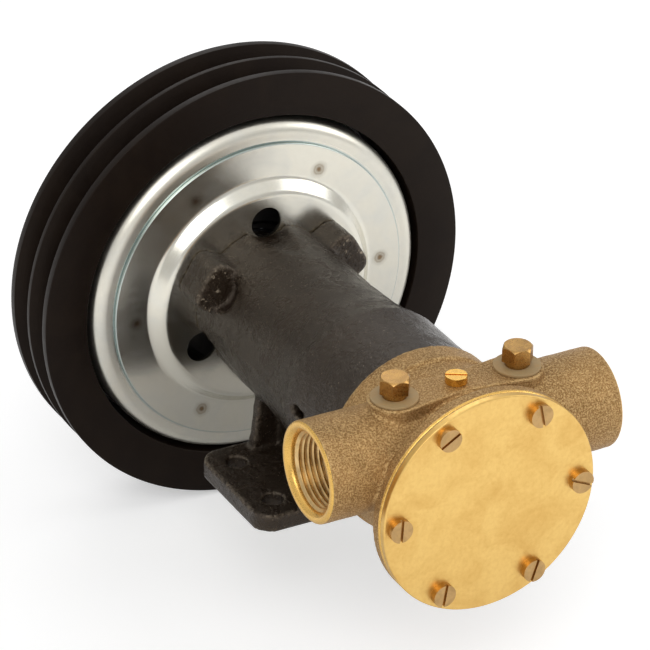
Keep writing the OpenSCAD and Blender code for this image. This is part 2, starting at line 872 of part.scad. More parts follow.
// Scoops in front of the ears, valleys between them and the clutch's bolt holes
module ear_cuts() {
    face = mount_s - ear_len;
    around(ear_count, ear_angle, scoop_circle_r) {
        disc(scoop_r, face - scoop_len, face);
        intersection() {
            translate([0, 0, face - scoop_len]) sphere(r = scoop_r);
            disc(scoop_r + over, face - scoop_len - scoop_r - over, face);
        }
    }
    around(ear_count, ear_angle, bolt_circle_r)
        disc(clutch_bolt_d / 2, mount_s - bolt_hole_len, mount_s + over);
    around(ear_count, ear_angle + 180 / ear_count, valley_floor_r + valley_r)
        translate([0, 0, mount_s]) rotate([0, -valley_angle, 0]) translate([0, 0, -valley_len])
            cylinder(r = valley_r, h = valley_len + valley_over);
}

// Cross rib of the pedestal, widest at the foot
module pedestal_rib(from, to) {
    translate([0, to, 0]) rotate([90, 0, 0]) linear_extrude(to - from) polygon([
        [-rib_foot_half_w, foot_t / 2], [rib_foot_half_w, foot_t / 2],
        [rib_top_half_w, shaft_h - rib_top_drop], [-rib_top_half_w, shaft_h - rib_top_drop]
    ]);
}

module foot() {
    x = foot_w / 2 - foot_corner_r;
    y = foot_len / 2 - foot_corner_r;
    translate([-foot_w / 2, -y, 0]) cube([foot_w, 2 * y, foot_t]);
    translate([-x, -foot_len / 2, 0]) cube([2 * x, foot_len, foot_t]);
    for (i = [-1, 1], j = [-1, 1]) translate([i * x, j * y, 0]) cylinder(r = foot_corner_r, h = foot_t);
}

module bearing_housing() {
    color("#3a3530") difference() {
        union() {
            on_shaft() {
                rotate_extrude() polygon(housing_profile());
                ears();
                disc(nose_step_r, mount_s - over, pulley_bearing_s - fit);
                disc(nose_d / 2, mount_s - over, nose_end_s);
            }
            foot();
            pedestal_rib(rib_back - rib_t, rib_back);
            pedestal_rib(-rib_front, -rib_front + rib_t);
            translate([-web_half_w, -rib_front, foot_t / 2])
                cube([2 * web_half_w, rib_front + rib_back, shaft_h - web_drop - foot_t / 2]);
        }
        on_shaft() {
            disc(spigot_r, housing_s - over, cavity_end_s);
            disc(bearing_r, cavity_end_s - over, rear_stop_s);
            disc(relief_r, front_bearing_s + bearing_w + relief_margin, rear_bearing_s - relief_margin);
            disc(nose_bore_r, rear_stop_s - over, nose_end_s + over);
            disc(bearing_r + circlip_bite, circlip_s - fit, circlip_s + circlip_t + fit);
            ring(nose_d, nose_d / 2 - circlip_bite, nose_clip_s - fit, nose_clip_s + circlip_t + fit);
            ear_cuts();
            around(body_screw_count, body_screw_angle, body_screw_r)
                disc(body_screw_d / 2, housing_s - over, wall_s + body_screw_len + body_screw_run_out);
            for (a = weep_angles) at_angle(a, 0)
                translate([0, -weep_w / 2, weep_s]) cube([collar_d, weep_w, weep_len]);
        }
        for (i = [-1, 1], j = [-1, 1]) translate([i * foot_hole_x / 2, j * foot_hole_y / 2, -over])
            cylinder(d = foot_hole_d, h = foot_t + 2 * over);
    }
}

module oil_seal() {
    color("#2b2523") on_shaft() difference() {
        ring(bearing_r - fit, shaft_r + run, oil_seal_s, oil_seal_s + oil_seal_t);
        ring(bearing_r - oil_seal_wall, shaft_r + oil_seal_lip, oil_seal_s + oil_seal_lip,
             oil_seal_s + oil_seal_t + over);
    }
}

module bearing_circlip() {
    color("#5d6064") on_shaft()
        circlip(bearing_r + circlip_bite - fit, bearing_r - circlip_band, circlip_s, circlip_s + circlip_t);
}

module shaft_circlip() {
    color("#5d6064") on_shaft()
        circlip(shaft_r + shaft_clip_out, shaft_r - shaft_clip_in, circlip_s, circlip_s + circlip_t);
}

module front_bearing_outer() {
    color("#b9bcbf") on_shaft()
        outer_race(journal_d, bearing_d, bearing_w, bearing_ball_d, front_bearing_s, 1, 0);
}

module front_bearing_inner() {
    color("#b9bcbf") on_shaft()
        inner_race(journal_d, bearing_d, bearing_w, bearing_ball_d, front_bearing_s, 1, 0);
}

module front_bearing_balls() {
    color("#d4d6d8") on_shaft()
        race_balls(journal_d, bearing_d, bearing_w, bearing_ball_d, front_bearing_s, 1, 0, ball_count);
}

module front_bearing_cage() {
    color("#c9a24e") on_shaft()
        race_cage(journal_d, bearing_d, bearing_w, bearing_ball_d, front_bearing_s, 1, 0, ball_count);
}

module bearing_spacer() {
    color("#8f9397") on_shaft()
        ring(spacer_r, journal_r + fit, front_bearing_s + bearing_w + fit, rear_bearing_s - fit);
}

module rear_bearing_outer() {
    color("#b9bcbf") on_shaft()
        outer_race(journal_d, bearing_d, bearing_w - fit, bearing_ball_d, rear_bearing_s, 1, 0);
}

module rear_bearing_inner() {
    color("#b9bcbf") on_shaft()
        inner_race(journal_d, bearing_d, bearing_w - fit, bearing_ball_d, rear_bearing_s, 1, 0);
}

module rear_bearing_balls() {
    color("#d4d6d8") on_shaft()
        race_balls(journal_d, bearing_d, bearing_w - fit, bearing_ball_d, rear_bearing_s, 1, 0, ball_count);
}

module rear_bearing_cage() {
    color("#c9a24e") on_shaft()
        race_cage(journal_d, bearing_d, bearing_w - fit, bearing_ball_d, rear_bearing_s, 1, 0, ball_count);
}

module drive_shaft() {
    color("#a9adb1") on_shaft() difference() {
        union() {
            disc(shaft_r, body_s + shaft_end_gap, front_bearing_s);
            disc(journal_r, front_bearing_s, hub_end_s - shaft_end_gap);
            disc(shaft_stop_r, rear_stop_s + fit, rear_stop_s + shaft_stop_len);
        }
        key_bar(shaft_r - key_low, shaft_r + over, key_w + 2 * fit, key_s - fit, key_s + key_len + fit);
        key_bar(journal_r - key_low, journal_r + over, key_w + 2 * fit,
                hub_key_s - fit, hub_key_s + hub_key_len + fit);
        ring(shaft_d, shaft_r - shaft_clip_in - fit, circlip_s - fit, circlip_s + circlip_t + fit);
        disc(hub_bolt_d / 2, hub_end_s - hub_bolt_len, hub_end_s + over);
    }
}

// Pressed plate: a raised middle, a rounded shoulder and a flat outer ring
function plate_profile() = let (c = plate_flat_r - shoulder_corner_r) concat(
    [[nose_step_r + fit, mount_s + plate_t], [nose_step_r + fit, mount_s]],
    arc(c, mount_s + shoulder_corner_r, shoulder_corner_r, -90, 0, corner_steps),
    [[plate_d / 2, plate_s], [plate_d / 2, shell_s], [plate_flat_r - plate_t, shell_s]],
    arc(c, mount_s + shoulder_corner_r, shoulder_corner_r - plate_t, 0, -90, corner_steps)
);

module grommet_hole(r, from, to) {
    at_angle(grommet_angle, grommet_circle_r) disc(r, from, to);
}

module coil_mounting_plate() {
    color("#c9ccc6") on_shaft() difference() {
        rotate_extrude() polygon(plate_profile());
        around(ear_count, ear_angle, bolt_circle_r) disc(clutch_bolt_d / 2, mount_s - over, shell_s);
        around(ear_count, ear_angle + 180 / ear_count, bolt_circle_r)
            disc(plate_hole_d / 2, mount_s - over, shell_s);
        grommet_hole(grommet_hole_r, plate_s - over, shell_s + over);
    }
}

// Channel that holds the coil: open towards the pulley's web
function shell_profile() = concat(
    [[shell_in_r, shell_end_s], [shell_in_r, shell_s + fit]],
    arc(shell_r - shell_corner_r, shell_s + fit + shell_corner_r, shell_corner_r, -90, 0, corner_steps),
    [[shell_r, shell_end_s], [shell_r - shell_wall, shell_end_s],
     [shell_r - shell_wall, shell_s + shell_wall],
     [shell_in_r + shell_wall, shell_s + shell_wall], [shell_in_r + shell_wall, shell_end_s]]
);

module coil_housing() {
    color("#cfd1cc") on_shaft() difference() {
        rotate_extrude() polygon(shell_profile());
        grommet_hole(grommet_hole_r, shell_s - over, shell_s + shell_wall + over);
    }
}

module coil_winding() {
    color("#a5602f") on_shaft() ring(winding_r_out, winding_r_in, winding_s, winding_s + winding_len);
}

module coil_potting() {
    color("#20242b") on_shaft() difference() {
        ring(shell_r - shell_wall - fit, shell_in_r + shell_wall + fit,
             shell_s + shell_wall + grommet_lip_t + fit, shell_end_s - winding_margin / 2);
        ring(winding_r_out + fit, winding_r_in - fit, winding_s - fit, winding_s + winding_len + fit);
    }
}

module lead_grommet() {
    color("#1d1d1f") on_shaft() at_angle(grommet_angle, grommet_circle_r) difference() {
        union() {
            disc(grommet_lip_r, plate_s - grommet_lip_t, plate_s - fit);
            disc(grommet_hole_r - fit, plate_s - grommet_lip_t, shell_s + shell_wall + grommet_lip_t);
            disc(grommet_lip_r, shell_s + shell_wall + fit, shell_s + shell_wall + grommet_lip_t);
        }
        disc(grommet_bore_r, plate_s - 2 * grommet_lip_t, shell_end_s);
    }
}

module clutch_bolts() {
    color("#9a9c9f") on_shaft() around(ear_count, ear_angle, bolt_circle_r) {
        hexagon(clutch_hex_flats, bolt_seat_s, bolt_seat_s + clutch_head_h);
        disc(clutch_bolt_d / 2 - 2 * fit, mount_s - bolt_hole_len + bolt_gap,
             bolt_seat_s + clutch_head_h / 2);
    }
}

// Rim outline, with one V for each belt
function rim_profile() =
    let (r = pulley_d / 2, foot_half = groove_w / 2 - groove_depth * tan(groove_angle)) concat(
    [[pulley_bore_d / 2, pulley_end_s], [pulley_bore_d / 2, pulley_s],
     [r - rim_edge, pulley_s], [r, pulley_s + rim_edge]],
    [for (i = [0, 1]) let (mid = pulley_s + groove_edge + i * groove_pitch)
        each [[r, mid - groove_w / 2], [r - groove_depth, mid - foot_half],
              [r - groove_depth, mid + foot_half], [r, mid + groove_w / 2]]],
    [[r, pulley_end_s - rim_edge], [r - rim_edge, pulley_end_s]]);

module pulley_rim() {
    color("#28221f") on_shaft() rotate_extrude() polygon(rim_profile());
}

// Curved slot through the friction web
module web_slot() {
    for (end = [-1, 1]) rotate(end * slot_sweep_angle / 2) translate([slot_mid_r, 0, web_s - over])
        cylinder(r = slot_half_w, h = web_t + 2 * over);
    rotate(-slot_sweep_angle / 2) translate([0, 0, web_s - over]) rotate_extrude(angle = slot_sweep_angle)
        translate([slot_mid_r - slot_half_w, 0]) square([2 * slot_half_w, web_t + 2 * over]);
}

module clutch_rotor() {
    color("#3a3734") on_shaft() difference() {
        union() {
            disc(pulley_bore_d / 2 - fit, web_s, pulley_end_s);
            disc(rotor_hub_r, pulley_bearing_s - rotor_lip_t, web_s + over);
        }
        disc(pulley_bearing_r, pulley_bearing_s - fit, pulley_end_s + over);
        disc(rotor_lip_r, pulley_bearing_s - rotor_lip_t - over, pulley_bearing_s);
        disc(pulley_bearing_r + circlip_bite, nose_clip_s - fit, nose_clip_s + circlip_t + fit);
        for (i = [0 : slot_count - 1]) rotate(i * 360 / slot_count) web_slot();
        around(window_count, 0, window_circle_r) disc(window_r, web_s - over, pulley_end_s + over);
    }
}

module pulley_bearing_outer() {
    color("#b9bcbf") on_shaft() outer_race(nose_d, pulley_bearing_d, pulley_bearing_w, pulley_ball_d,
                                           pulley_bearing_s, 2, pulley_row_offset);
}

module pulley_bearing_inner() {
    color("#b9bcbf") on_shaft() inner_race(nose_d, pulley_bearing_d, pulley_bearing_w, pulley_ball_d,
                                           pulley_bearing_s, 2, pulley_row_offset);
}

module pulley_bearing_balls() {
    color("#d4d6d8") on_shaft() race_balls(nose_d, pulley_bearing_d, pulley_bearing_w, pulley_ball_d,
                                           pulley_bearing_s, 2, pulley_row_offset, pulley_ball_count);
}

module pulley_bearing_cages() {
    color("#c9a24e") on_shaft() race_cage(nose_d, pulley_bearing_d, pulley_bearing_w, pulley_ball_d,
                                          pulley_bearing_s, 2, pulley_row_offset, pulley_ball_count);
}

module rotor_circlip() {
    color("#5d6064") on_shaft()
        circlip(pulley_bearing_r + circlip_bite - fit, pulley_bearing_r - rotor_clip_in, nose_clip_s,
                nose_clip_s + circlip_t);
}

module nose_circlip() {
    color("#5d6064") on_shaft()
        circlip(nose_d / 2 + nose_clip_out, nose_d / 2 - circlip_bite + fit,
                nose_clip_s, nose_clip_s + circlip_t);
}

// Places its children at the two ends of each leaf spring
module at_leaf_ends(r, angle) {
    around(leaf_count, angle, r) children();
}

module armature_plate() {
    color("#8a8d8f") on_shaft() difference() {
        ring(armature_r_out, armature_r_in, armature_s, armature_s + armature_t);
        at_leaf_ends(leaf_r_out, leaf_angle) {
            disc(rivet_d / 2, armature_s - over, leaf_s + over);
            disc(rivet_head_d / 2 + fit, armature_s - over, armature_s + rivet_head_h);
        }
    }
}

// One strap from the hub's flange out to the armature plate
module leaf() {
    hub_end = [leaf_r_hub, 0];
    far_end = leaf_r_out * [cos(leaf_angle), -sin(leaf_angle)];
    run_to = far_end - hub_end;
    difference() {
        union() {
            for (p = [hub_end, far_end]) translate(p) circle(d = leaf_w);
            translate(hub_end) rotate(atan2(run_to[1], run_to[0]))
                translate([0, -leaf_w / 2]) square([norm(run_to), leaf_w]);
        }
        for (p = [hub_end, far_end]) translate(p) circle(d = rivet_d);
    }
}

module armature_springs() {
    color("#9fa3a6") on_shaft() for (i = [0 : leaf_count - 1]) rotate(-i * 360 / leaf_count)
        translate([0, 0, leaf_s]) linear_extrude(leaf_t) leaf();
}

module armature_rivets() {
    top = leaf_s + leaf_t + fit;
    color("#a4a6a4") on_shaft() at_leaf_ends(leaf_r_out, leaf_angle) {
        disc(rivet_head_d / 2, armature_s + fit, armature_s + rivet_head_h - fit);
        disc(rivet_d / 2 - fit, armature_s + fit, top + rivet_head_h);
        disc(rivet_head_d / 2, top, top + rivet_head_h);
    }
}

module hub_rivets() {
    low = leaf_s - fit;
    top = hub_flange_s + hub_flange_t + fit;
    color("#a4a6a4") on_shaft() at_leaf_ends(leaf_r_hub, 0) {
        disc(rivet_head_d / 2, low - rivet_head_h, low);
        disc(rivet_d / 2 - fit, low - rivet_head_h, top + rivet_head_h);
        disc(rivet_head_d / 2, top, top + rivet_head_h);
    }
}

module clutch_hub() {
    color("#77797a") on_shaft() difference() {
        union() {
            disc(hub_boss_r, hub_boss_s, hub_end_s);
            disc(hub_flange_r, hub_flange_s, hub_flange_s + hub_flange_t);
        }
        disc(journal_r + fit, hub_boss_s - over, hub_end_s + over);
        at_leaf_ends(leaf_r_hub, 0) disc(rivet_d / 2, hub_flange_s - over, hub_end_s);
        key_bar(0, journal_r + key_high + fit, key_w + 2 * fit, hub_boss_s - over, hub_end_s + over);
    }
}

module hub_key() {
    color("#8c8f92") on_shaft()
        key_bar(journal_r - key_low + fit, journal_r + key_high, key_w, hub_key_s, hub_key_s + hub_key_len);
}

module hub_washer() {
    color("#9a9c9f") on_shaft()
        ring(hub_washer_r, hub_bolt_d / 2 + fit, hub_end_s + fit, hub_end_s + hub_washer_t);
}

module hub_bolt() {
    seat = hub_end_s + hub_washer_t + fit;
    color("#9a9c9f") on_shaft() {
        hexagon(clutch_hex_flats, seat, seat + hub_bolt_head_h);
        disc(hub_bolt_d / 2 - fit, hub_end_s - hub_bolt_len + shaft_end_gap, seat + hub_bolt_head_h / 2);
    }
}

end_cover();
cover_gasket();
cover_screws();
pump_body();
cam();
cam_screw();
wear_plate();
wear_plate_pin();
impeller_rubber();
impeller_insert();
impeller_key();
port_plugs();
plug_washers();
seal_seat();
seal_seat_cup();
seal_head();
seal_spring();
spring_washer();
joint_gasket();
body_screws();
slinger();
bearing_housing();
oil_seal();
bearing_circlip();
shaft_circlip();
front_bearing_outer();
front_bearing_inner();
front_bearing_balls();
front_bearing_cage();
bearing_spacer();
rear_bearing_outer();
rear_bearing_inner();
rear_bearing_balls();
rear_bearing_cage();
drive_shaft();
coil_mounting_plate();
coil_housing();
coil_winding();
coil_potting();
lead_grommet();
clutch_bolts();
pulley_rim();
clutch_rotor();
pulley_bearing_outer();
pulley_bearing_inner();
pulley_bearing_balls();
pulley_bearing_cages();
rotor_circlip();
nose_circlip();
armature_plate();
armature_springs();
armature_rivets();
hub_rivets();
clutch_hub();
hub_key();
hub_washer();
hub_bolt();
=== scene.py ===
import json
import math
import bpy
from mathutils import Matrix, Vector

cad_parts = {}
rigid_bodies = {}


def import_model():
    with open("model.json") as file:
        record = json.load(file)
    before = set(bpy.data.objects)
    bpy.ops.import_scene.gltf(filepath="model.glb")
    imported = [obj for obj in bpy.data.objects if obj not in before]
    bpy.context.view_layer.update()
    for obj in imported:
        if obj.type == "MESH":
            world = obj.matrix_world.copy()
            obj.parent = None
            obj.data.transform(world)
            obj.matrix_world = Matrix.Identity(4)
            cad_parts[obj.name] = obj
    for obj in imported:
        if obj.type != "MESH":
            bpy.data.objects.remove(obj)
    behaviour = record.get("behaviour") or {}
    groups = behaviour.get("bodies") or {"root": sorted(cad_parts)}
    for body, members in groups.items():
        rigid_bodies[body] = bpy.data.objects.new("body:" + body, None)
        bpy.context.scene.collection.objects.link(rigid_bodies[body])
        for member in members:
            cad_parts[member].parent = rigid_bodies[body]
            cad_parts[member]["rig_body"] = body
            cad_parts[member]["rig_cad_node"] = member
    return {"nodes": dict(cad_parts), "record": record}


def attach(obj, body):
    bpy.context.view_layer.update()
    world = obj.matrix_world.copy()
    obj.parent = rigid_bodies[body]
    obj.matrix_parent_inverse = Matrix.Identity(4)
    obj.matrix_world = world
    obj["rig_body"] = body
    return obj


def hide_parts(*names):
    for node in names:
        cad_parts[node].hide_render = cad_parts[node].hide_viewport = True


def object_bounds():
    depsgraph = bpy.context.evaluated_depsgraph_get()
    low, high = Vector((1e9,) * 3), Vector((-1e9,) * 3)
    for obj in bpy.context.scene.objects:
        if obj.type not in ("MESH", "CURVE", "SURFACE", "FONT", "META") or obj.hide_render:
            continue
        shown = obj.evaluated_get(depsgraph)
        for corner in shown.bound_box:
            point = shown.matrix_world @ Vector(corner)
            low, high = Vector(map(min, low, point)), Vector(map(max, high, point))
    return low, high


bl_info = {
    "name": "Flexible impeller pump",
    "version": (1, 0, 0),
    "blender": (4, 5, 0),
    "location": "View3D > Sidebar > Pump",
    "description": "Dresses the packed pump with cast, turned, plated and painted finishes",
    "category": "Add Mesh",
}

import bpy
from mathutils import Matrix, Vector

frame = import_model()
CAD_BOX = [list(corner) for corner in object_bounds()]
SLOT_OF = {row["node"]: row["material_slot"] for row in frame["record"]["subparts"]}

# The shaft runs along Y at this height, and stations count from the cover's front
SHAFT_Z = 0.053
COVER_Y = -0.123
PORT_Y = -0.0934
PORT_Z = 0.0693
MM = 0.001

# Stations in millimetres
FLANGE_FRONT = 4.6
EAR_FACE = 172
COIL_FACE = 197.12
COIL_END = 226.12
RIM_FRONT = 199.42
RIM_BACK = 234.42

# The carrier plate's front on Y, and the circle of its weld marks
PLATE_FRONT_Y = 72.5 * MM
WELD_R = 59 * MM

# Most triangles that a casting keeps
CASTING_TRIANGLES = 185000

# Photograph's camera: its place and the directions right, up and back
CAMERA_PLACE = (-0.73574, -1.30837, 0.91461)
CAMERA_AXES = (
    (0.87885, 0.2189, -0.42392),
    (-0.47673, 0.43824, -0.76202),
    (0.01897, 0.87179, 0.4895),
)
CAMERA_LENS = 229.69

# Where the lights aim
PUMP_MIDDLE = (0, 0.02, 0.05)


def linear(code):
    """A colour written as six hex digits, as linear red, green and blue."""
    parts = [int(code[i:i + 2], 16) / 255 for i in (0, 2, 4)]
    return tuple(p / 12.92 if p <= 0.04045 else ((p + 0.055) / 1.055) ** 2.4 for p in parts)


def colour(name, code):
    return bpy.props.FloatVectorProperty(
        name=name, description=name + ", as linear light", subtype="COLOR",
        size=3, min=0, max=1, default=linear(code))


def length(name, millimetres, text):
    return bpy.props.FloatProperty(
        name=name, description=text, unit="LENGTH", subtype="DISTANCE",
        min=0.00005, default=millimetres * MM)


class PumpSizes(bpy.types.PropertyGroup):
    """Sizes that the finished pieces take."""

    turned_edge: length("Turned edge", 0.25, "Round on the edges of turned pieces")
    screw_edge: length("Screw edge", 0.22, "Round on the edges of the screws")
    pressed_edge: length("Pressed edge", 0.35, "Round on the edges of pressed steel")
    body_cell: length("Body cell", 0.62, "Size of the cells that the pump body is cast from")
    housing_cell: length("Housing cell", 0.85, "Size of the cells that the housing is cast from")
    rubber_cell: length("Rubber cell", 0.8, "Size of the cells that the impeller is moulded from")
    thread_pitch: length("Thread pitch", 2.309, "Pitch of the pipe thread in the ports")
    thread_crest: length("Thread crest", 15.2, "Radius of the thread's crest from the port's axis")
    thread_root: length("Thread root", 16.66, "Radius of the thread's root from the port's axis")
    seam_height: length("Seam height", 0.55, "Height of the moulding seam on the castings")


class PumpColours(bpy.types.PropertyGroup):
    """Colours of the pump's finishes."""

    cover: colour("Cover brass", "EDC678")
    cover_stain: colour("Cover stain", "CC9A4C")
    screw_top: colour("Screw top", "C09C6A")
    screw_side: colour("Screw side", "E2B560")
    bright: colour("Bright brass", "EDBE63")
    plug: colour("Plug brass", "B68D54")
    plug_dark: colour("Plug tarnish", "725634")
    bronze: colour("Body bronze", "BC9058")
    bronze_dark: colour("Bronze in its pits", "4A3218")
    bronze_brown: colour("Brown bloom and painted top shade on the bronze", "7A5A30")
    bronze_light: colour("Bronze on its grains", "DDBD86")
    washer: colour("Sealing washer", "A88F66")
    housing: colour("Housing paint", "251C14")
    housing_light: colour("Bare iron chips and painted glint specks", "B3A48E")
    pulley: colour("Pulley paint", "150E0A")
    zinc: colour("Zinc plate", "DDD9CC")
    zinc_dull: colour("Dull zinc", "A39C8C")
    zinc_edge: colour("Bluish line on the zinc's edge", "8FA8AC")
    zinc_blue: colour("Blue cast of the zinc", "CDCFCC")


def sizes():
    return bpy.context.scene.pump_sizes


def colours():
    return bpy.context.scene.pump_colours


def rgba(value):
    return (value[0], value[1], value[2], 1.0)


# Working with objects as by hand

def nothing_selected():
    if bpy.context.mode != "OBJECT":
        bpy.ops.object.mode_set(mode="OBJECT")
    bpy.ops.object.select_all(action="DESELECT")


def pick(piece, *others):
    """Selects the pieces, the first one active."""
    nothing_selected()
    for other in others:
        other.select_set(True)
    piece.select_set(True)
    bpy.context.view_layer.objects.active = piece


def named(piece, name):
    piece.name = name
    piece.data.name = name
    return piece


def edit(piece, *steps):
    """Runs edit-mode steps on all of a piece's mesh."""
    pick(piece)
    bpy.ops.object.mode_set(mode="EDIT")
    bpy.ops.mesh.select_all(action="SELECT")
    for step in steps:
        step()
    bpy.ops.object.mode_set(mode="OBJECT")


def modify(piece, kind, **values):
    """Adds a modifier, sets it and applies it."""
    pick(piece)
    bpy.ops.object.modifier_add(type=kind)
    modifier = piece.modifiers[-1]
    for name, value in values.items():
        setattr(modifier, name, value)
    bpy.ops.object.modifier_apply(modifier=modifier.name)


def settle(piece):
    """Puts a piece's place, turn and scale into its mesh."""
    pick(piece)
    bpy.ops.object.transform_apply(location=True, rotation=True, scale=True)
    return piece


def smooth(piece, degrees=32):
    pick(piece)
    bpy.ops.object.shade_smooth_by_angle(angle=math.radians(degrees))


def outwards(piece):
    edit(piece,
         lambda: bpy.ops.mesh.remove_doubles(threshold=0.002 * MM),
         lambda: bpy.ops.mesh.normals_make_consistent(inside=False))


def copy_of(node, name):
    """A separate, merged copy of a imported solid, to be finished further."""
    source = frame["nodes"][node]
    pick(source)
    bpy.ops.object.duplicate()
    piece = bpy.context.object
    piece.parent = None
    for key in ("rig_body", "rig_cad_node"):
        if key in piece:
            del piece[key]
    named(piece, name)
    piece.data.materials.clear()
    pick(piece)
    if piece.data.has_custom_normals:
        bpy.ops.mesh.customdata_custom_splitnormals_clear()
    edit(piece,
         lambda: bpy.ops.mesh.remove_doubles(threshold=0.004 * MM),
         lambda: bpy.ops.mesh.dissolve_limited(angle_limit=math.radians(0.4)))
    return piece


def bevelled(node, name, width, segments=2, degrees=40):
    """A copy of a solid with its sharp edges broken."""
    piece = copy_of(node, name)
    modify(piece, "BEVEL", width=width, segments=segments, limit_method="ANGLE",
           angle_limit=math.radians(degrees), use_clamp_overlap=True, harden_normals=False)
    smooth(piece)
    modify(piece, "WEIGHTED_NORMAL", weight=100, keep_sharp=True)
    return piece


def weighted(piece, name, weight):
    """Fills a vertex group by a rule on each point."""
    group = piece.vertex_groups.new(name=name)
    shares = {}
    for vertex in piece.data.vertices:
        share = round(min(1.0, max(0.0, weight(vertex.co))), 1)
        if share > 0:
            shares.setdefault(share, []).append(vertex.index)
    for share, points in shares.items():
        group.add(points, share, "REPLACE")
    return group.name


def cloud(name, size):
    texture = bpy.data.textures.new(name, "CLOUDS")
    texture.noise_scale = size
    texture.noise_depth = 2
    return texture


def cast(piece, cell, is_rough, rounding, lumps):
    """Turns sharp solids into one casting with rounded corners and uneven skin."""
    modify(piece, "REMESH", mode="VOXEL", voxel_size=cell, adaptivity=0, use_smooth_shade=True)
    rough = weighted(piece, "rough skin", is_rough)
    modify(piece, "SMOOTH", factor=0.5, iterations=2)
    modify(piece, "SMOOTH", factor=0.5, iterations=rounding, vertex_group=rough)
    modify(piece, "DISPLACE", texture=cloud(piece.name + " lumps", 7 * MM), texture_coords="LOCAL",
           strength=lumps, mid_level=0.5, vertex_group=rough)
    count = sum(len(face.vertices) - 2 for face in piece.data.polygons)
    if count > CASTING_TRIANGLES:
        modify(piece, "DECIMATE", ratio=CASTING_TRIANGLES / count)
    piece.vertex_groups.clear()
    pick(piece)
    bpy.ops.object.shade_smooth()


def arc_corner(before, corner, after, radius, steps):
    """Points that round one corner of an outline."""
    corner = Vector(corner)
    back = (Vector(before) - corner).normalized()
    on = (Vector(after) - corner).normalized()
    half = back.angle(on) / 2
    reach = radius / math.tan(half)
    start, end = corner + back * reach, corner + on * reach
    middle = corner + (back + on).normalized() * (radius / math.sin(half))
    first, last = start - middle, end - middle
    turn = first.angle(last)
    shares = (i / steps for i in range(steps + 1))
    return [middle + (first * math.sin(turn * (1 - t)) + last * math.sin(turn * t))
            / math.sin(turn) for t in shares]


def outline(points, steps=4):
    """A closed outline of radius and station, with a round where a third value gives one."""
    flat = [Vector(p[:2]) for p in points]
    drawn = []
    for i, p in enumerate(points):
        if len(p) > 2:
            drawn += arc_corner(flat[i - 1], flat[i], flat[(i + 1) % len(flat)], p[2], steps)
        else:
            drawn.append(flat[i])
    return drawn


def turned(name, points, steps):
    """Draws a closed outline point by point, and spins it round the shaft."""
    places = [Vector((r, s, 0)) * MM + Vector((0, COVER_Y, SHAFT_Z)) for r, s in points]
    nothing_selected()
    bpy.ops.mesh.primitive_plane_add(size=MM, location=places[0])
    piece = settle(named(bpy.context.object, name))
    pick(piece)
    bpy.ops.object.mode_set(mode="EDIT")
    bpy.ops.mesh.select_all(action="SELECT")
    bpy.ops.mesh.merge(type="CENTER")
    for here, there in zip(places, places[1:] + places[:1]):
        bpy.ops.mesh.extrude_vertices_move(TRANSFORM_OT_translate={"value": there - here})
    bpy.ops.mesh.select_all(action="SELECT")
    bpy.ops.mesh.spin(steps=steps, dupli=False, angle=2 * math.pi,
                      center=(0, COVER_Y, SHAFT_Z), axis=(0, 1, 0))
    bpy.ops.object.mode_set(mode="OBJECT")
    outwards(piece)
    return piece


def bar(name, radius, start, end, vertices):
    """A cylinder from one point to another, to be cut with or shaped further."""
    start, end = Vector(start), Vector(end)
    nothing_selected()
    bpy.ops.mesh.primitive_cylinder_add(
        vertices=vertices, radius=radius, depth=(end - start).length, location=(start + end) / 2,
        rotation=(end - start).to_track_quat("Z", "Y").to_euler())
    return settle(named(bpy.context.object, name))


def cut(piece, *cutters):
    """Cuts shapes out of a piece, and removes them."""
    pick(cutters[0], *cutters[1:])
    if len(cutters) > 1:
        bpy.ops.object.join()
    modify(piece, "BOOLEAN", operation="DIFFERENCE", object=cutters[0], solver="EXACT")
    bpy.data.objects.remove(cutters[0], do_unlink=True)


def round_shaft(degrees, radius, station):
    """A point at an angle from the right-hand port round the shaft."""
    turn = math.radians(degrees)
    return Vector((radius * math.cos(turn), station, radius * math.sin(turn))) * MM + Vector(
        (0, COVER_Y, SHAFT_Z))


def drill(radius, angle, circle, span, vertices=32):
    """A cutter along the shaft's direction, between two stations."""
    return bar("hole", radius * MM, round_shaft(angle, circle, span[0]),
               round_shaft(angle, circle, span[1]), vertices)


def done(piece, body, finish, *nodes):
    """Gives a finished piece its material, its body and the solids that it stands for."""
    piece.data.materials.clear()
    piece.data.materials.append(FINISHES[finish]())
    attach(piece, body)
    if nodes:
        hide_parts(*nodes)
    return piece


# Materials

def put(tree, kind, inputs=None, **settings):
    """Adds a shader node, and sets or links its inputs."""
    node = tree.nodes.new("ShaderNode" + kind)
    for name, value in settings.items():
        setattr(node, name, value)
    for key, value in (inputs or {}).items():
        if isinstance(value, bpy.types.NodeSocket):
            tree.links.new(value, node.inputs[key])
        else:
            node.inputs[key].default_value = value
    return node


def maths(tree, operation, *values):
    return put(tree, "Math", dict(enumerate(values)), operation=operation).outputs[0]


def times(tree, first, second):
    return maths(tree, "MULTIPLY", first, second)


def largest(tree, first, *others):
    for other in others:
        first = maths(tree, "MAXIMUM", first, other)
    return first


def reach(tree, across, up):
    """Distance from an axis, from the two offsets across it."""
    squares = maths(tree, "ADD", times(tree, across, across), times(tree, up, up))
    return maths(tree, "SQRT", squares)


def split(tree, vector):
    """The x, y and z of a vector."""
    return put(tree, "SeparateXYZ", {0: vector}).outputs


def facing(tree):
    """The x, y and z of the surface's normal."""
    return split(tree, put(tree, "NewGeometry").outputs["Normal"])


def ray_kinds(tree):
    """Whether a ray comes from the camera, and whether from a gloss or through glass."""
    path = put(tree, "LightPath").outputs
    return path["Is Camera Ray"], largest(tree, path["Is Glossy Ray"], path["Is Transmission Ray"])


def between(tree, value, low, high, to_low=0.0, to_high=1.0):
    return put(tree, "MapRange", {0: value, 1: low, 2: high, 3: to_low, 4: to_high},
               clamp=True).outputs[0]


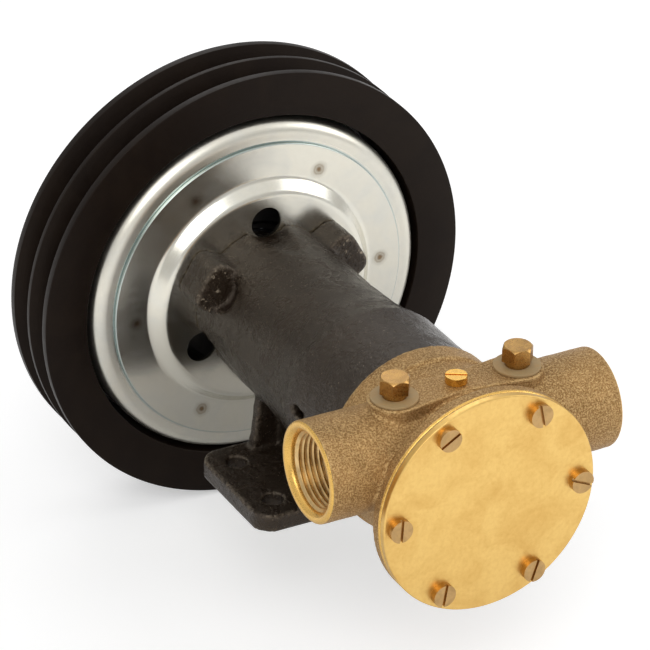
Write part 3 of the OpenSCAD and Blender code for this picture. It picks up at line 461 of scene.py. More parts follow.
def blend(tree, share, first, second):
    node = put(tree, "Mix", {0: share}, data_type="RGBA")
    for socket, value in ((node.inputs[6], first), (node.inputs[7], second)):
        if isinstance(value, bpy.types.NodeSocket):
            tree.links.new(value, socket)
        else:
            socket.default_value = rgba(value)
    return node.outputs[2]


def noise(tree, vector, scale, detail=3.0, roughness=0.55, distortion=0.0):
    return put(tree, "TexNoise", {"Vector": vector, "Scale": scale, "Detail": detail,
                                  "Roughness": roughness, "Distortion": distortion}).outputs["Fac"]


def new_group(name, inputs, outputs):
    """An empty shader node group with named sockets."""
    tree = bpy.data.node_groups.new(name, "ShaderNodeTree")
    for label, kind, default in inputs:
        socket = tree.interface.new_socket(label, in_out="INPUT", socket_type="NodeSocket" + kind)
        if default is not None:
            socket.default_value = default
    for label, kind in outputs:
        tree.interface.new_socket(label, in_out="OUTPUT", socket_type="NodeSocket" + kind)
    entry = tree.nodes.new("NodeGroupInput")
    leave = tree.nodes.new("NodeGroupOutput")
    return tree, entry.outputs, leave


def cast_skin():
    """Sand-cast skin: grains, pits and broad patches."""
    tree, get, leave = new_group(
        "Cast skin",
        [("Vector", "Vector", None), ("Grain", "Float", 900.0), ("Pits", "Float", 0.4)],
        [("Height", "Float"), ("Grains", "Float"), ("Pits", "Float"), ("Patches", "Float")])
    fine = noise(tree, get["Vector"], get["Grain"], 4.0, 0.68)
    cells = put(tree, "TexVoronoi",
                {"Vector": get["Vector"], "Scale": times(tree, get["Grain"], 0.8)},
                feature="SMOOTH_F1").outputs["Distance"]
    holes = noise(tree, get["Vector"], times(tree, get["Grain"], 0.9), 3.0, 0.6)
    edge = maths(tree, "SUBTRACT", 0.78, times(tree, get["Pits"], 0.22))
    pits = between(tree, holes, edge, maths(tree, "ADD", edge, 0.06))
    patches = noise(tree, get["Vector"], times(tree, get["Grain"], 0.05), 3.0, 0.6)
    grains = maths(tree, "ADD", times(tree, fine, 0.75), times(tree, cells, 0.3))
    height = maths(tree, "SUBTRACT", grains, times(tree, pits, 0.5))
    for label, value in (("Height", height), ("Grains", between(tree, grains, 0.44, 0.6)),
                         ("Pits", pits), ("Patches", between(tree, patches, 0.35, 0.65))):
        tree.links.new(value, leave.inputs[label])
    return tree


def edge_wear():
    """Share of wear along raised edges, broken up by noise."""
    tree, get, leave = new_group(
        "Edge wear", [("Vector", "Vector", None), ("Amount", "Float", 0.5)], [("Mask", "Float")])
    raised = put(tree, "NewGeometry").outputs["Pointiness"]
    lift = between(tree, raised, 0.505, 0.56)
    broken = between(tree, noise(tree, get["Vector"], 420.0, 4.0, 0.7), 0.42, 0.62)
    mask = times(tree, times(tree, lift, broken), get["Amount"])
    tree.links.new(maths(tree, "MINIMUM", mask, 1.0), leave.inputs["Mask"])
    return tree


def stains():
    """Soft patches of stain with finer mottling."""
    tree, get, leave = new_group(
        "Stains", [("Vector", "Vector", None), ("Size", "Float", 0.02)],
        [("Broad", "Float"), ("Fine", "Float")])
    scale = maths(tree, "DIVIDE", 1.0, get["Size"])
    broad = noise(tree, get["Vector"], scale, 5.0, 0.6, 0.8)
    fine = noise(tree, get["Vector"], times(tree, scale, 9.0), 4.0, 0.65, 0.3)
    tree.links.new(between(tree, broad, 0.42, 0.7), leave.inputs["Broad"])
    tree.links.new(between(tree, fine, 0.4, 0.75), leave.inputs["Fine"])
    return tree


def turning_rings():
    """Fine rings round the shaft, as a lathe or a press leaves them."""
    tree, get, leave = new_group(
        "Turning rings", [("Vector", "Vector", None), ("Rings", "Float", 2500.0)],
        [("Height", "Float"), ("Tone", "Float"), ("Radius", "Float")])
    place = split(tree, get["Vector"])
    up = maths(tree, "SUBTRACT", place[2], SHAFT_Z)
    radius = reach(tree, place[0], up)
    spread = times(tree, radius, get["Rings"])
    line = put(tree, "TexNoise", {"W": spread, "Scale": 1.0, "Detail": 3.0, "Roughness": 0.6},
               noise_dimensions="1D").outputs["Fac"]
    soft = put(tree, "TexNoise",
               {"W": times(tree, spread, 0.08), "Scale": 1.0, "Detail": 2.0},
               noise_dimensions="1D").outputs["Fac"]
    for label, value in (("Height", line), ("Tone", between(tree, soft, 0.35, 0.65)),
                         ("Radius", radius)):
        tree.links.new(value, leave.inputs[label])
    return tree


def weld_spots():
    """Six grey marks where the coil is welded to its carrier."""
    tree, get, leave = new_group(
        "Weld spots", [("Vector", "Vector", None)], [("Spot", "Float"), ("Halo", "Float")])
    place = split(tree, get["Vector"])
    up = maths(tree, "SUBTRACT", place[2], SHAFT_Z)
    angle = maths(tree, "ARCTAN2", up, place[0])
    step = math.radians(60)
    first = math.radians(1.8)
    turn = maths(tree, "SUBTRACT", angle, first)
    nearest = maths(tree, "ROUND", maths(tree, "DIVIDE", turn, step))
    folded = maths(tree, "SUBTRACT", turn, times(tree, nearest, step))
    radius = reach(tree, place[0], up)
    aside = times(tree, radius, folded)
    away = maths(tree, "SUBTRACT", radius, WELD_R)
    far = reach(tree, aside, away)
    uneven = maths(tree, "SUBTRACT", noise(tree, get["Vector"], 500.0, 3.0), 0.5)
    ragged = maths(tree, "ADD", far, times(tree, uneven, 1.2 * MM))
    core = maths(tree, "SUBTRACT", 1.0, between(tree, ragged, 0.6 * MM, 2.0 * MM))
    ring = times(tree, between(tree, ragged, 1.5 * MM, 2.1 * MM, 0.0, 0.5),
                 between(tree, ragged, 2.1 * MM, 2.9 * MM, 1.0, 0.0))
    tree.links.new(largest(tree, core, ring), leave.inputs["Spot"])
    tree.links.new(between(tree, ragged, 2.2 * MM, 4.6 * MM, 1.0, 0.0), leave.inputs["Halo"])
    return tree


GROUP_MAKERS = {"Cast skin": cast_skin, "Edge wear": edge_wear, "Stains": stains,
                "Turning rings": turning_rings, "Weld spots": weld_spots}


def effect(tree, name, **inputs):
    """Places a shared effect in a material."""
    group = bpy.data.node_groups.get(name) or GROUP_MAKERS[name]()
    node = put(tree, "Group", node_tree=group)
    for label, value in inputs.items():
        if isinstance(value, bpy.types.NodeSocket):
            tree.links.new(value, node.inputs[label])
        else:
            node.inputs[label].default_value = value
    return node.outputs


def material(name, paint, **plain):
    """A material made once: plain values go on the shader, paint wires the rest."""
    found = bpy.data.materials.get(name)
    if found:
        return found
    made = bpy.data.materials.new(name)
    made.use_nodes = True
    tree = made.node_tree
    tree.nodes.clear()
    shader = put(tree, "BsdfPrincipled")
    for label, value in plain.items():
        shader.inputs[label.replace("_", " ")].default_value = value
    place = put(tree, "TexCoord").outputs["Object"]
    paint(tree, shader, place)
    leave = tree.nodes.new("ShaderNodeOutputMaterial")
    tree.links.new(shader.outputs[0], leave.inputs[0])
    return made


def bump(tree, shader, height, distance):
    node = put(tree, "Bump", {"Height": height, "Strength": 1.0, "Distance": distance})
    tree.links.new(node.outputs[0], shader.inputs["Normal"])


def wire(tree, shader, **links):
    for label, socket in links.items():
        tree.links.new(socket, shader.inputs[label.replace("_", " ")])


def cover_brass():
    def paint(tree, shader, place):
        c = colours()
        mark = effect(tree, "Stains", Vector=place, Size=0.017)
        tone = blend(tree, times(tree, mark["Broad"], 0.45), c.cover, c.cover_stain)
        tone = blend(tree, times(tree, mark["Fine"], 0.22), tone, c.cover_stain)
        wire(tree, shader, Base_Color=tone,
             Roughness=between(tree, mark["Fine"], 0.0, 1.0, 0.34, 0.5))
        bump(tree, shader, noise(tree, place, 1400.0, 3.0), 0.02 * MM)
    return material("Cover brass", paint, Metallic=1.0)


def turned_brass(name, main, dull, rough, share=0.5, face=None, rubbed=0.5):
    """Turned brass, with a painted sheen in the face colour on the faces across the shaft if one
    is given.
    """
    def paint(tree, shader, place):
        mark = effect(tree, "Stains", Vector=place, Size=0.006)
        worn = effect(tree, "Edge wear", Vector=place, Amount=0.9)
        tone = blend(tree, times(tree, mark["Broad"], share), main, dull)
        wear = times(tree, worn["Mask"], rubbed)
        if face:
            # Painted sheen: faces across the shaft, such as the screw tops, take the face colour
            # in place of the sides' colour.
            across = between(tree, maths(tree, "ABSOLUTE", facing(tree)[1]), 0.75, 0.92)
            tone = blend(tree, across, tone,
                         blend(tree, times(tree, mark["Broad"], 0.35), face, dull))
        tone = blend(tree, wear, tone, colours().bright)
        wire(tree, shader, Base_Color=tone,
             Roughness=between(tree, mark["Fine"], 0.0, 1.0, rough, rough + 0.12))
        bump(tree, shader, noise(tree, place, 1800.0, 3.0), 0.012 * MM)
    return material(name, paint, Metallic=1.0)


def screw_brass():
    c = colours()
    return turned_brass("Screw brass", c.plug, c.plug_dark, 0.3, 0.3, c.screw_top, 0.1)


def bright_brass():
    c = colours()
    return turned_brass("Bright brass", c.bright, c.cover_stain, 0.2, 0.5)


def plug_brass():
    c = colours()
    return turned_brass("Plug brass", c.plug, c.plug_dark, 0.26, 0.45, rubbed=0.2)


def thread_brass():
    c = colours()
    return turned_brass("Thread brass", c.bronze_light, c.bronze_brown, 0.3, 0.55, rubbed=0.2)


def cage_brass():
    c = colours()
    return turned_brass("Cage brass", c.screw_side, c.screw_top, 0.3, 0.4)


def body_bronze():
    def paint(tree, shader, place):
        c = colours()
        skin = effect(tree, "Cast skin", Vector=place, Grain=1800.0, Pits=0.6)
        worn = effect(tree, "Edge wear", Vector=place, Amount=0.7)
        at = split(tree, place)
        side = maths(tree, "ABSOLUTE", at[0])
        ahead = maths(tree, "SUBTRACT", at[1], PORT_Y)
        above = maths(tree, "SUBTRACT", at[2], PORT_Z)
        port_r = reach(tree, ahead, above)
        bored = times(tree, between(tree, port_r, 18.6 * MM, 18.9 * MM, 1.0, 0.0),
                      between(tree, side, 46 * MM, 48 * MM))
        port_end = between(tree, side, 65.7 * MM, 65.9 * MM)
        flange = COVER_Y + FLANGE_FRONT * MM
        front = between(tree, at[1], flange, flange + 0.3 * MM, 1.0, 0.0)
        milled = largest(tree, bored, port_end, front)
        mark = effect(tree, "Stains", Vector=place, Size=0.022)
        # Painted shade: faces turned upwards are blended up to a fifth of the way to the brown, so
        # they come out darker than the sides.
        painted_top_shade = times(tree, between(tree, facing(tree)[2], 0.35, 0.95), 0.2)
        tone = blend(tree, times(tree, mark["Broad"], 0.55), c.bronze, c.bronze_brown)
        tone = blend(tree, painted_top_shade, tone, c.bronze_brown)
        dark = blend(tree, 0.32, tone, c.bronze_dark)
        light = blend(tree, 0.6, tone, c.bronze_light)
        tone = blend(tree, skin["Grains"], dark, light)
        tone = blend(tree, times(tree, mark["Fine"], 0.2), tone, c.bronze_brown)
        tone = blend(tree, times(tree, skin["Pits"], 0.7), tone, c.bronze_dark)
        tone = blend(tree, worn["Mask"], tone, c.bronze_light)
        tone = blend(tree, times(tree, milled, 0.85), tone, c.bright)
        rough = between(tree, skin["Grains"], 0.0, 1.0, 0.58, 0.4)
        wire(tree, shader, Base_Color=tone,
             Roughness=maths(tree, "SUBTRACT", rough, times(tree, milled, 0.2)))
        height = times(tree, skin["Height"], between(tree, milled, 0.0, 1.0, 1.0, 0.15))
        bump(tree, shader, height, 0.55 * MM)
    return material("Body bronze", paint, Metallic=0.8)


def black_casting():
    def paint(tree, shader, place):
        c = colours()
        skin = effect(tree, "Cast skin", Vector=place, Grain=900.0, Pits=0.7)
        worn = effect(tree, "Edge wear", Vector=place, Amount=0.35)
        rings = effect(tree, "Turning rings", Vector=place)
        along = split(tree, place)[1]
        from_ears = maths(tree, "SUBTRACT", along, COVER_Y + EAR_FACE * MM)
        chipped = times(tree, between(tree, rings["Radius"], 34 * MM, 36 * MM),
                        between(tree, maths(tree, "ABSOLUTE", from_ears),
                                3 * MM, 7 * MM, 1.0, 0.0))
        broken = between(tree, noise(tree, place, 420.0, 4.0, 0.7), 0.6, 0.68, 0.0, 0.7)
        chips = times(tree, chipped, broken)
        # Painted glints: small light specks, blended in at 0.4 below, stand in for sparkle on the
        # glossy paint; the worn edges and chips are bare iron.
        painted_glint_specks = between(tree, noise(tree, place, 1300.0, 2.0, 0.5), 0.68, 0.74)
        lumps = noise(tree, place, 300.0, 3.0, 0.6)
        tone = blend(tree, skin["Patches"], c.housing, blend(tree, 0.5, c.housing, c.pulley))
        tone = blend(tree, times(tree, skin["Pits"], 0.6), tone, c.pulley)
        bare_iron_and_glints = largest(tree, worn["Mask"], chips, times(tree, painted_glint_specks, 0.4))
        tone = blend(tree, bare_iron_and_glints, tone, c.housing_light)
        gloss = effect(tree, "Stains", Vector=place, Size=0.009)
        wire(tree, shader, Base_Color=tone,
             Roughness=between(tree, gloss["Broad"], 0.0, 1.0, 0.16, 0.42))
        height = maths(tree, "ADD", skin["Height"], times(tree, lumps, 1.6))
        bump(tree, shader, height, 0.5 * MM)
    return material("Black casting", paint, Specular_IOR_Level=0.5,
                    Specular_Tint=(1.0, 0.84, 0.68, 1.0))


def pulley_black():
    def paint(tree, shader, place):
        c = colours()
        rings = effect(tree, "Turning rings", Vector=place, Rings=1500.0)
        mark = effect(tree, "Stains", Vector=place, Size=0.03)
        tone = blend(tree, times(tree, mark["Broad"], 0.4), c.pulley, c.housing)
        wire(tree, shader, Base_Color=tone,
             Roughness=between(tree, mark["Fine"], 0.0, 1.0, 0.36, 0.46))
        grain = times(tree, noise(tree, place, 900.0, 3.0), 0.8)
        bump(tree, shader, maths(tree, "ADD", rings["Height"], grain), 0.03 * MM)
    return material("Pulley black", paint, Specular_IOR_Level=0.14,
                    Specular_Tint=(1.0, 0.88, 0.8, 1.0))


def plated_steel():
    def paint(tree, shader, place):
        c = colours()
        rings = effect(tree, "Turning rings", Vector=place, Rings=900.0)
        mark = effect(tree, "Stains", Vector=place, Size=0.02)
        weld = effect(tree, "Weld spots", Vector=place)
        tone = blend(tree, times(tree, mark["Broad"], 0.4), c.zinc, c.zinc_blue)
        tone = blend(tree, times(tree, mark["Fine"], 0.07), tone, c.zinc_dull)
        along = split(tree, place)[1]
        off_plate = maths(tree, "ABSOLUTE", maths(tree, "SUBTRACT", along, PLATE_FRONT_Y))
        near = between(tree, off_plate, 0.4 * MM, 0.9 * MM, 1.0, 0.0)
        halo, spot = times(tree, weld["Halo"], near), times(tree, weld["Spot"], near)
        tone = blend(tree, times(tree, halo, 0.5), tone, c.zinc_dull)
        tone = blend(tree, times(tree, spot, 0.85), tone, c.plug_dark)
        # A thin bluish line along the plate's outer edge, in the zinc's edge colour.
        rim = times(tree, between(tree, rings["Radius"], 68.3 * MM, 68.9 * MM, 0.0, 0.6),
                    between(tree, rings["Radius"], 69.3 * MM, 69.9 * MM, 1.0, 0.0))
        tone = blend(tree, rim, tone, c.zinc_edge)
        soft = between(tree, rings["Radius"], 69.4 * MM, 71 * MM, 0.0, 0.13)
        rough = between(tree, mark["Broad"], 0.0, 1.0, 0.2, 0.27)
        wire(tree, shader, Base_Color=tone, Roughness=maths(tree, "ADD", soft, rough))
        height = maths(tree, "SUBTRACT", times(tree, rings["Height"], 0.12), spot)
        bump(tree, shader, height, 0.04 * MM)
    return material("Zinc plated steel", paint, Metallic=1.0)


def steel_like(name, main, second, rough, grain, metal=1.0):
    def paint(tree, shader, place):
        rings = effect(tree, "Turning rings", Vector=place, Rings=grain)
        mark = effect(tree, "Stains", Vector=place, Size=0.012)
        tone = blend(tree, times(tree, mark["Broad"], 0.5), main, second)
        wire(tree, shader, Base_Color=tone,
             Roughness=between(tree, mark["Fine"], 0.0, 1.0, rough, rough + 0.15))
        bump(tree, shader, rings["Height"], 0.02 * MM)
    return material(name, paint, Metallic=metal)


def steel():
    return steel_like("Turned steel", linear("B5B7B8"), linear("8E8F90"), 0.28, 3000.0)


def spring_steel():
    return steel_like("Spring steel", linear("8E8F91"), linear("66686B"), 0.3, 1200.0)


def bearing_steel():
    return steel_like("Bearing steel", linear("D2D4D6"), linear("B4B6B9"), 0.12, 2600.0)


def rotor_steel():
    return steel_like("Rotor steel", linear("6B6865"), linear("45423F"), 0.38, 1800.0)


def coil_copper():
    return steel_like("Enamelled copper", linear("9A5328"), linear("6E3716"), 0.3, 5200.0, 0.8)


def moulded(name, main, second, rough, grain, depth):
    def paint(tree, shader, place):
        mark = effect(tree, "Stains", Vector=place, Size=0.01)
        tone = blend(tree, times(tree, mark["Broad"], 0.6), main, second)
        wire(tree, shader, Base_Color=tone,
             Roughness=between(tree, mark["Fine"], 0.0, 1.0, rough - 0.08, rough + 0.08))
        bump(tree, shader, noise(tree, place, grain, 4.0, 0.65), depth)
    return material(name, paint)


def rubber():
    return moulded("Moulded rubber", linear("222224"), linear("303033"), 0.62, 2400.0, 0.05 * MM)


def washer_fibre():
    c = colours()
    return moulded("Fibre washer", c.washer, c.plug, 0.7, 2200.0, 0.12 * MM)


def gasket_paper():
    return moulded("Gasket paper", linear("8A8574"), linear("6C6757"), 0.85, 3000.0, 0.06 * MM)


def seal_ceramic():
    return moulded("Seal ceramic", linear("EFECE2"), linear("E0DCCF"), 0.2, 1500.0, 0.01 * MM)


def seal_carbon():
    return moulded("Seal carbon", linear("2C2C2E"), linear("3C3C3F"), 0.4, 1500.0, 0.03 * MM)


def potting():
    return moulded("Coil resin", linear("1E222A"), linear("2A2E36"), 0.35, 700.0, 0.06 * MM)


FINISHES = {
    "cover_brass": cover_brass, "screw_brass": screw_brass, "bright_brass": bright_brass,
    "plug_brass": plug_brass, "body_bronze": body_bronze, "washer_fibre": washer_fibre,
    "gasket_paper": gasket_paper, "rubber": rubber, "seal_ceramic": seal_ceramic,
    "seal_carbon": seal_carbon, "spring_steel": spring_steel, "steel": steel,
    "plated_steel": plated_steel, "black_casting": black_casting,
    "bearing_steel": bearing_steel, "cage_brass": cage_brass, "coil_copper": coil_copper,
    "potting": potting, "pulley_black": pulley_black, "rotor_steel": rotor_steel,
}


# Pieces

class PUMP_OT_cover(bpy.types.Operator):
    """Front cover with broken edges"""

    bl_idname = "pump.cover"
    bl_label = "End cover"

    def execute(self, context):
        piece = bevelled("end_cover", "front_cover", sizes().turned_edge)
        done(piece, "housing", "cover_brass", "end_cover")
        return {"FINISHED"}


class PUMP_OT_screws(bpy.types.Operator):
    """Slotted cover screws and the cam screw"""

    bl_idname = "pump.screws"
    bl_label = "Slotted screws"

    def execute(self, context):
        piece = bevelled("cover_screws", "slotted_cover_screws", sizes().screw_edge, segments=3)
        done(piece, "housing", "screw_brass", "cover_screws")
        piece = bevelled("cam_screw", "slotted_cam_screw", sizes().screw_edge, segments=3)
        done(piece, "housing", "bright_brass", "cam_screw")
        return {"FINISHED"}


def machined_body(point):
    """0 on the body's machined faces, and 1 on its cast skin."""
    body_back, port_end, port_floor = 60 * MM, 65.2 * MM, 20 * MM
    chamber_r, bore_r, pad_height = 33.6 * MM, 17.4 * MM, 38.3 * MM
    flange_back, flange_edge_r = 9.4 * MM, 46.6 * MM
    along = point.y - COVER_Y
    side = abs(point.x)
    port_r = math.hypot(point.y - PORT_Y, point.z - PORT_Z)
    shaft_r = math.hypot(point.x, point.z - SHAFT_Z)
    if along < FLANGE_FRONT * MM or along > body_back or side > port_end:
        return 0
    if shaft_r < chamber_r or point.z > SHAFT_Z + pad_height:
        return 0.1
    if port_r < bore_r and side > port_floor:
        return 0
    if along < flange_back and shaft_r > flange_edge_r:
        return 0
    return 1


class PUMP_OT_body(bpy.types.Operator):
    """Sand-cast pump body with rounded corners"""

    bl_idname = "pump.body"
    bl_label = "Pump body"

    def execute(self, context):
        piece = copy_of("pump_body", "body_casting")
        cast(piece, sizes().body_cell, machined_body, rounding=9, lumps=0.35 * MM)
        done(piece, "housing", "body_bronze", "pump_body")
        return {"FINISHED"}


class PUMP_OT_threads(bpy.types.Operator):
    """Pipe thread in the two ports"""

    bl_idname = "pump.threads"
    bl_label = "Port threads"

    def execute(self, context):
        size = sizes()
        pitch, crest, root = size.thread_pitch, size.thread_crest, size.thread_root
        valley, top = root - 0.25 * MM, crest + 0.1 * MM
        shape = [(0.04, root), (0.18, valley), (0.42, top), (0.5, crest),
                 (0.58, top), (0.82, valley), (0.96, root)]
        turns, steps = 6, 72
        mouth = 64.9
        made = []
        for side in (-1, 1):
            face = side * mouth * MM
            nothing_selected()
            bpy.ops.mesh.primitive_plane_add(size=MM, location=(0, 0, 0))
            piece = named(bpy.context.object, "thread_left" if side < 0 else "thread_right")
            bpy.ops.object.mode_set(mode="EDIT")
            bpy.ops.mesh.merge(type="CENTER")
            places = [Vector((share * pitch, 0, radius)) for share, radius in shape]
            bpy.ops.transform.translate(value=places[0])
            for here, there in zip(places, places[1:] + places[:1]):
                bpy.ops.mesh.extrude_vertices_move(TRANSFORM_OT_translate={"value": there - here})
            bpy.ops.mesh.select_all(action="SELECT")
            bpy.ops.mesh.remove_doubles(threshold=0.001 * MM)
            bpy.ops.object.mode_set(mode="OBJECT")
            modify(piece, "SCREW", axis="X", angle=2 * math.pi, screw_offset=pitch,
                   iterations=turns, steps=steps, render_steps=steps)
            edit(piece,
                 lambda: bpy.ops.mesh.select_all(action="DESELECT"),
                 lambda: bpy.ops.mesh.select_non_manifold(),
                 lambda: bpy.ops.mesh.fill_holes(sides=0),
                 lambda: bpy.ops.mesh.select_all(action="SELECT"),
                 lambda: bpy.ops.mesh.normals_make_consistent(inside=False))
            piece.location = (face if side < 0 else face - (turns + 1) * pitch, PORT_Y, PORT_Z)
            settle(piece)
            smooth(piece, 60)
            made.append(piece)
        pick(made[0], made[1])
        bpy.ops.object.join()
        named(made[0], "port_threads")
        done(made[0], "housing", "bright_brass")
        # A browner brass in the same slot of the record
        made[0].data.materials[0] = thread_brass()
        return {"FINISHED"}


class PUMP_OT_plugs(bpy.types.Operator):
    """Hexagon plugs in the pad, on their washers"""

    bl_idname = "pump.plugs"
    bl_label = "Plugs"

    def execute(self, context):
        piece = bevelled("port_plugs", "hexagon_plugs", 0.3 * MM, segments=3, degrees=25)
        done(piece, "housing", "plug_brass", "port_plugs")
        piece = bevelled("plug_washers", "sealing_washers", 0.2 * MM, segments=3)
        done(piece, "housing", "washer_fibre", "plug_washers")
        return {"FINISHED"}


def machined_housing(point):
    """0 on the housing's machined faces, less on its foot, and 1 on its cast skin."""
    front, back, bore_r, foot_top = 61.6, 190.2, 26.5, 12 * MM
    along = (point.y - COVER_Y) / MM
    shaft_r = math.hypot(point.x, point.z - SHAFT_Z) / MM
    if along < front or along > back or point.z < 0.4 * MM or shaft_r < bore_r:
        return 0
    if point.z < foot_top:
        return 0.3
    return 1


class PUMP_OT_housing(bpy.types.Operator):
    """Black cast housing with its ears, pedestal and foot"""

    bl_idname = "pump.housing"
    bl_label = "Bearing housing"

    def execute(self, context):
        piece = copy_of("bearing_housing", "housing_casting")
        seams = [self.seam(180), self.seam(0)]
        pick(piece, *seams)
        bpy.ops.object.join()
        cast(piece, sizes().housing_cell, machined_housing, rounding=8, lumps=0.5 * MM)
        done(piece, "housing", "black_casting", "bearing_housing")
        return {"FINISHED"}

    def seam(self, degrees):
        """Uneven fin that the two halves of the mould leave along the barrel."""
        inner, width = 30.0, 1.6 * MM
        tops = [(101, 37.9), (106, 36.4), (119, 34.6), (142, 33.4), (178, 33.4)]
        height = sizes().seam_height / MM
        nothing_selected()
        bpy.ops.mesh.primitive_cube_add(size=1, location=(0, 0, 0))
        fin = named(bpy.context.object, "seam")
        side = 1 if degrees == 0 else -1
        bpy.ops.object.mode_set(mode="EDIT")
        bpy.ops.mesh.select_all(action="SELECT")
        bpy.ops.transform.resize(value=(0.001 * MM, 0.001 * MM, 0.001 * MM))
        bpy.ops.mesh.merge(type="CENTER")
        place = Vector((side * inner * MM, COVER_Y + tops[0][0] * MM, SHAFT_Z))
        bpy.ops.transform.translate(value=place)
        path = [(inner, tops[0][0])] + [(r + height, s) for s, r in tops] + [(inner, tops[-1][0])]
        for here, there in zip(path, path[1:] + path[:1]):
            bpy.ops.mesh.extrude_vertices_move(TRANSFORM_OT_translate={
                "value": ((there[0] - here[0]) * side * MM, (there[1] - here[1]) * MM, 0)})
        bpy.ops.mesh.select_all(action="SELECT")
        bpy.ops.mesh.remove_doubles(threshold=0.001 * MM)
        bpy.ops.mesh.edge_face_add()
        bpy.ops.mesh.extrude_region_move(TRANSFORM_OT_translate={"value": (0, 0, width)})
        bpy.ops.mesh.select_all(action="SELECT")
        bpy.ops.transform.translate(value=(0, 0, -width / 2))
        bpy.ops.mesh.normals_make_consistent(inside=False)
        bpy.ops.object.mode_set(mode="OBJECT")
        return fin


class PUMP_OT_coil(bpy.types.Operator):
    """Pressed carrier plate and the steel shell of the coil"""

    bl_idname = "pump.coil"
    bl_label = "Coil and carrier"

    def execute(self, context):
        bore, edge = 22.52, 69.05
        low, low_back, high, high_back = 190.5, 192.1, 195.5, 197.1
        plate = turned("carrier_plate", outline([
            (bore, low), (48.2, low, 4.4), (53.4, high, 3.6), (edge, high, 0.5),
            (edge, high_back, 0.5), (52.4, high_back, 3.4), (47.2, low_back, 4.2),
            (bore, low_back)], 12), 192)
        circle, bolt_r, vent_r, through = 35.3, 4, 7, (188, 200)
        lead, lead_circle, lead_r, through_shell = 311, 60, 4, (195, 203)
        holes = [drill(bolt_r, a, circle, through) for a in (30, 150, 270)]
        holes += [drill(vent_r, a, circle, through, 48) for a in (90, 210, 330)]
        holes.append(drill(lead_r, lead, lead_circle, through))
        cut(plate, *holes)
        smooth(plate, 28)
        done(plate, "housing", "plated_steel", "coil_mounting_plate")
        inner, outer, wall = 50.8, 78.2, 3
        floor = COIL_FACE + wall
        shell = turned("coil_shell", outline([
            (inner, COIL_END), (inner, COIL_FACE, 0.6), (outer, COIL_FACE, 6.0),
            (outer, COIL_END, 0.5), (outer - wall, COIL_END, 0.5), (outer - wall, floor, 1.0),
            (inner + wall, floor, 1.0), (inner + wall, COIL_END)], 8), 224)
        cut(shell, drill(lead_r, lead, lead_circle, through_shell))
        smooth(shell, 28)
        done(shell, "housing", "plated_steel", "coil_housing")
        return {"FINISHED"}


class PUMP_OT_pulley(bpy.types.Operator):
    """Two-groove pulley rim and the rotor inside it"""

    bl_idname = "pump.pulley"
    bl_label = "Pulley"

    def execute(self, context):
        bore, outer, floor = 80.4, 99.8, 87.6
        half_mouth, half_floor, inset = 6.35, 2.15, 10
        points = [(bore, RIM_BACK, 0.3), (bore, RIM_FRONT, 0.4), (outer, RIM_FRONT, 0.4)]
        for mid in (RIM_FRONT + inset, RIM_BACK - inset):
            points += [(outer, mid - half_mouth, 0.3), (floor, mid - half_floor, 0.8),
                       (floor, mid + half_floor, 0.8), (outer, mid + half_mouth, 0.3)]
        points.append((outer, RIM_BACK, 0.4))
        rim = turned("groove_rim", outline(points), 256)
        smooth(rim, 25)
        done(rim, "pulley", "pulley_black", "pulley_rim")
        rotor = bevelled("clutch_rotor", "friction_rotor", sizes().pressed_edge)
        done(rotor, "pulley", "rotor_steel", "clutch_rotor")
        return {"FINISHED"}


class PUMP_OT_drive(bpy.types.Operator):
    """Armature, hub, bolts and the other fasteners of the clutch"""

    bl_idname = "pump.drive"
    bl_label = "Clutch drive"

    def execute(self, context):
        edge, thin_edge = sizes().turned_edge, 0.15 * MM
        for node, name, body, finish in (
                ("armature_plate", "armature_disc", "armature", "rotor_steel"),
                ("armature_rivets", "armature_rivet_heads", "armature", "steel"),
                ("hub_rivets", "hub_rivet_heads", "shaft", "steel"),
                ("armature_springs", "leaf_springs", "shaft", "spring_steel"),
                ("clutch_hub", "hub_flange", "shaft", "steel"),
                ("hub_washer", "hub_flat_washer", "shaft", "plated_steel"),
                ("hub_bolt", "hub_hexagon_bolt", "shaft", "plated_steel"),
                ("clutch_bolts", "hexagon_bolts", "housing", "plated_steel"),
                ("drive_shaft", "turned_shaft", "shaft", "steel"),
                ("rotor_circlip", "rotor_ring", "pulley", "spring_steel"),
                ("nose_circlip", "nose_ring", "housing", "spring_steel")):
            width = thin_edge if "spring" in node or "circlip" in node else edge
            done(bevelled(node, name, width), body, finish, node)
        return {"FINISHED"}


class PUMP_OT_soft(bpy.types.Operator):
    """Rubber impeller, seals and other rubber pieces"""

    bl_idname = "pump.soft"
    bl_label = "Rubber pieces"

    def execute(self, context):
        impeller = copy_of("impeller_rubber", "moulded_impeller")
        modify(impeller, "REMESH", mode="VOXEL", voxel_size=sizes().rubber_cell, adaptivity=0,
               use_smooth_shade=True)
        modify(impeller, "SMOOTH", factor=0.5, iterations=5)
        pick(impeller)
        bpy.ops.object.shade_smooth()
        done(impeller, "shaft", "rubber", "impeller_rubber")
        for node, name, body in (("seal_seat_cup", "seat_cup_ring", "housing"),
                                 ("slinger", "slinger_ring", "shaft"),
                                 ("oil_seal", "oil_seal_ring", "housing"),
                                 ("lead_grommet", "lead_grommet_ring", "housing")):
            done(bevelled(node, name, 0.25 * MM, segments=3), body, "rubber", node)
        return {"FINISHED"}


class PUMP_OT_finishes(bpy.types.Operator):
    """Materials on the solids that stay as they are"""

    bl_idname = "pump.finishes"
    bl_label = "Finishes"

    def execute(self, context):
        for node, solid in frame["nodes"].items():
            finish = FINISHES[SLOT_OF[node]]()
            solid.data.materials.clear()
            solid.data.materials.append(finish)
        return {"FINISHED"}


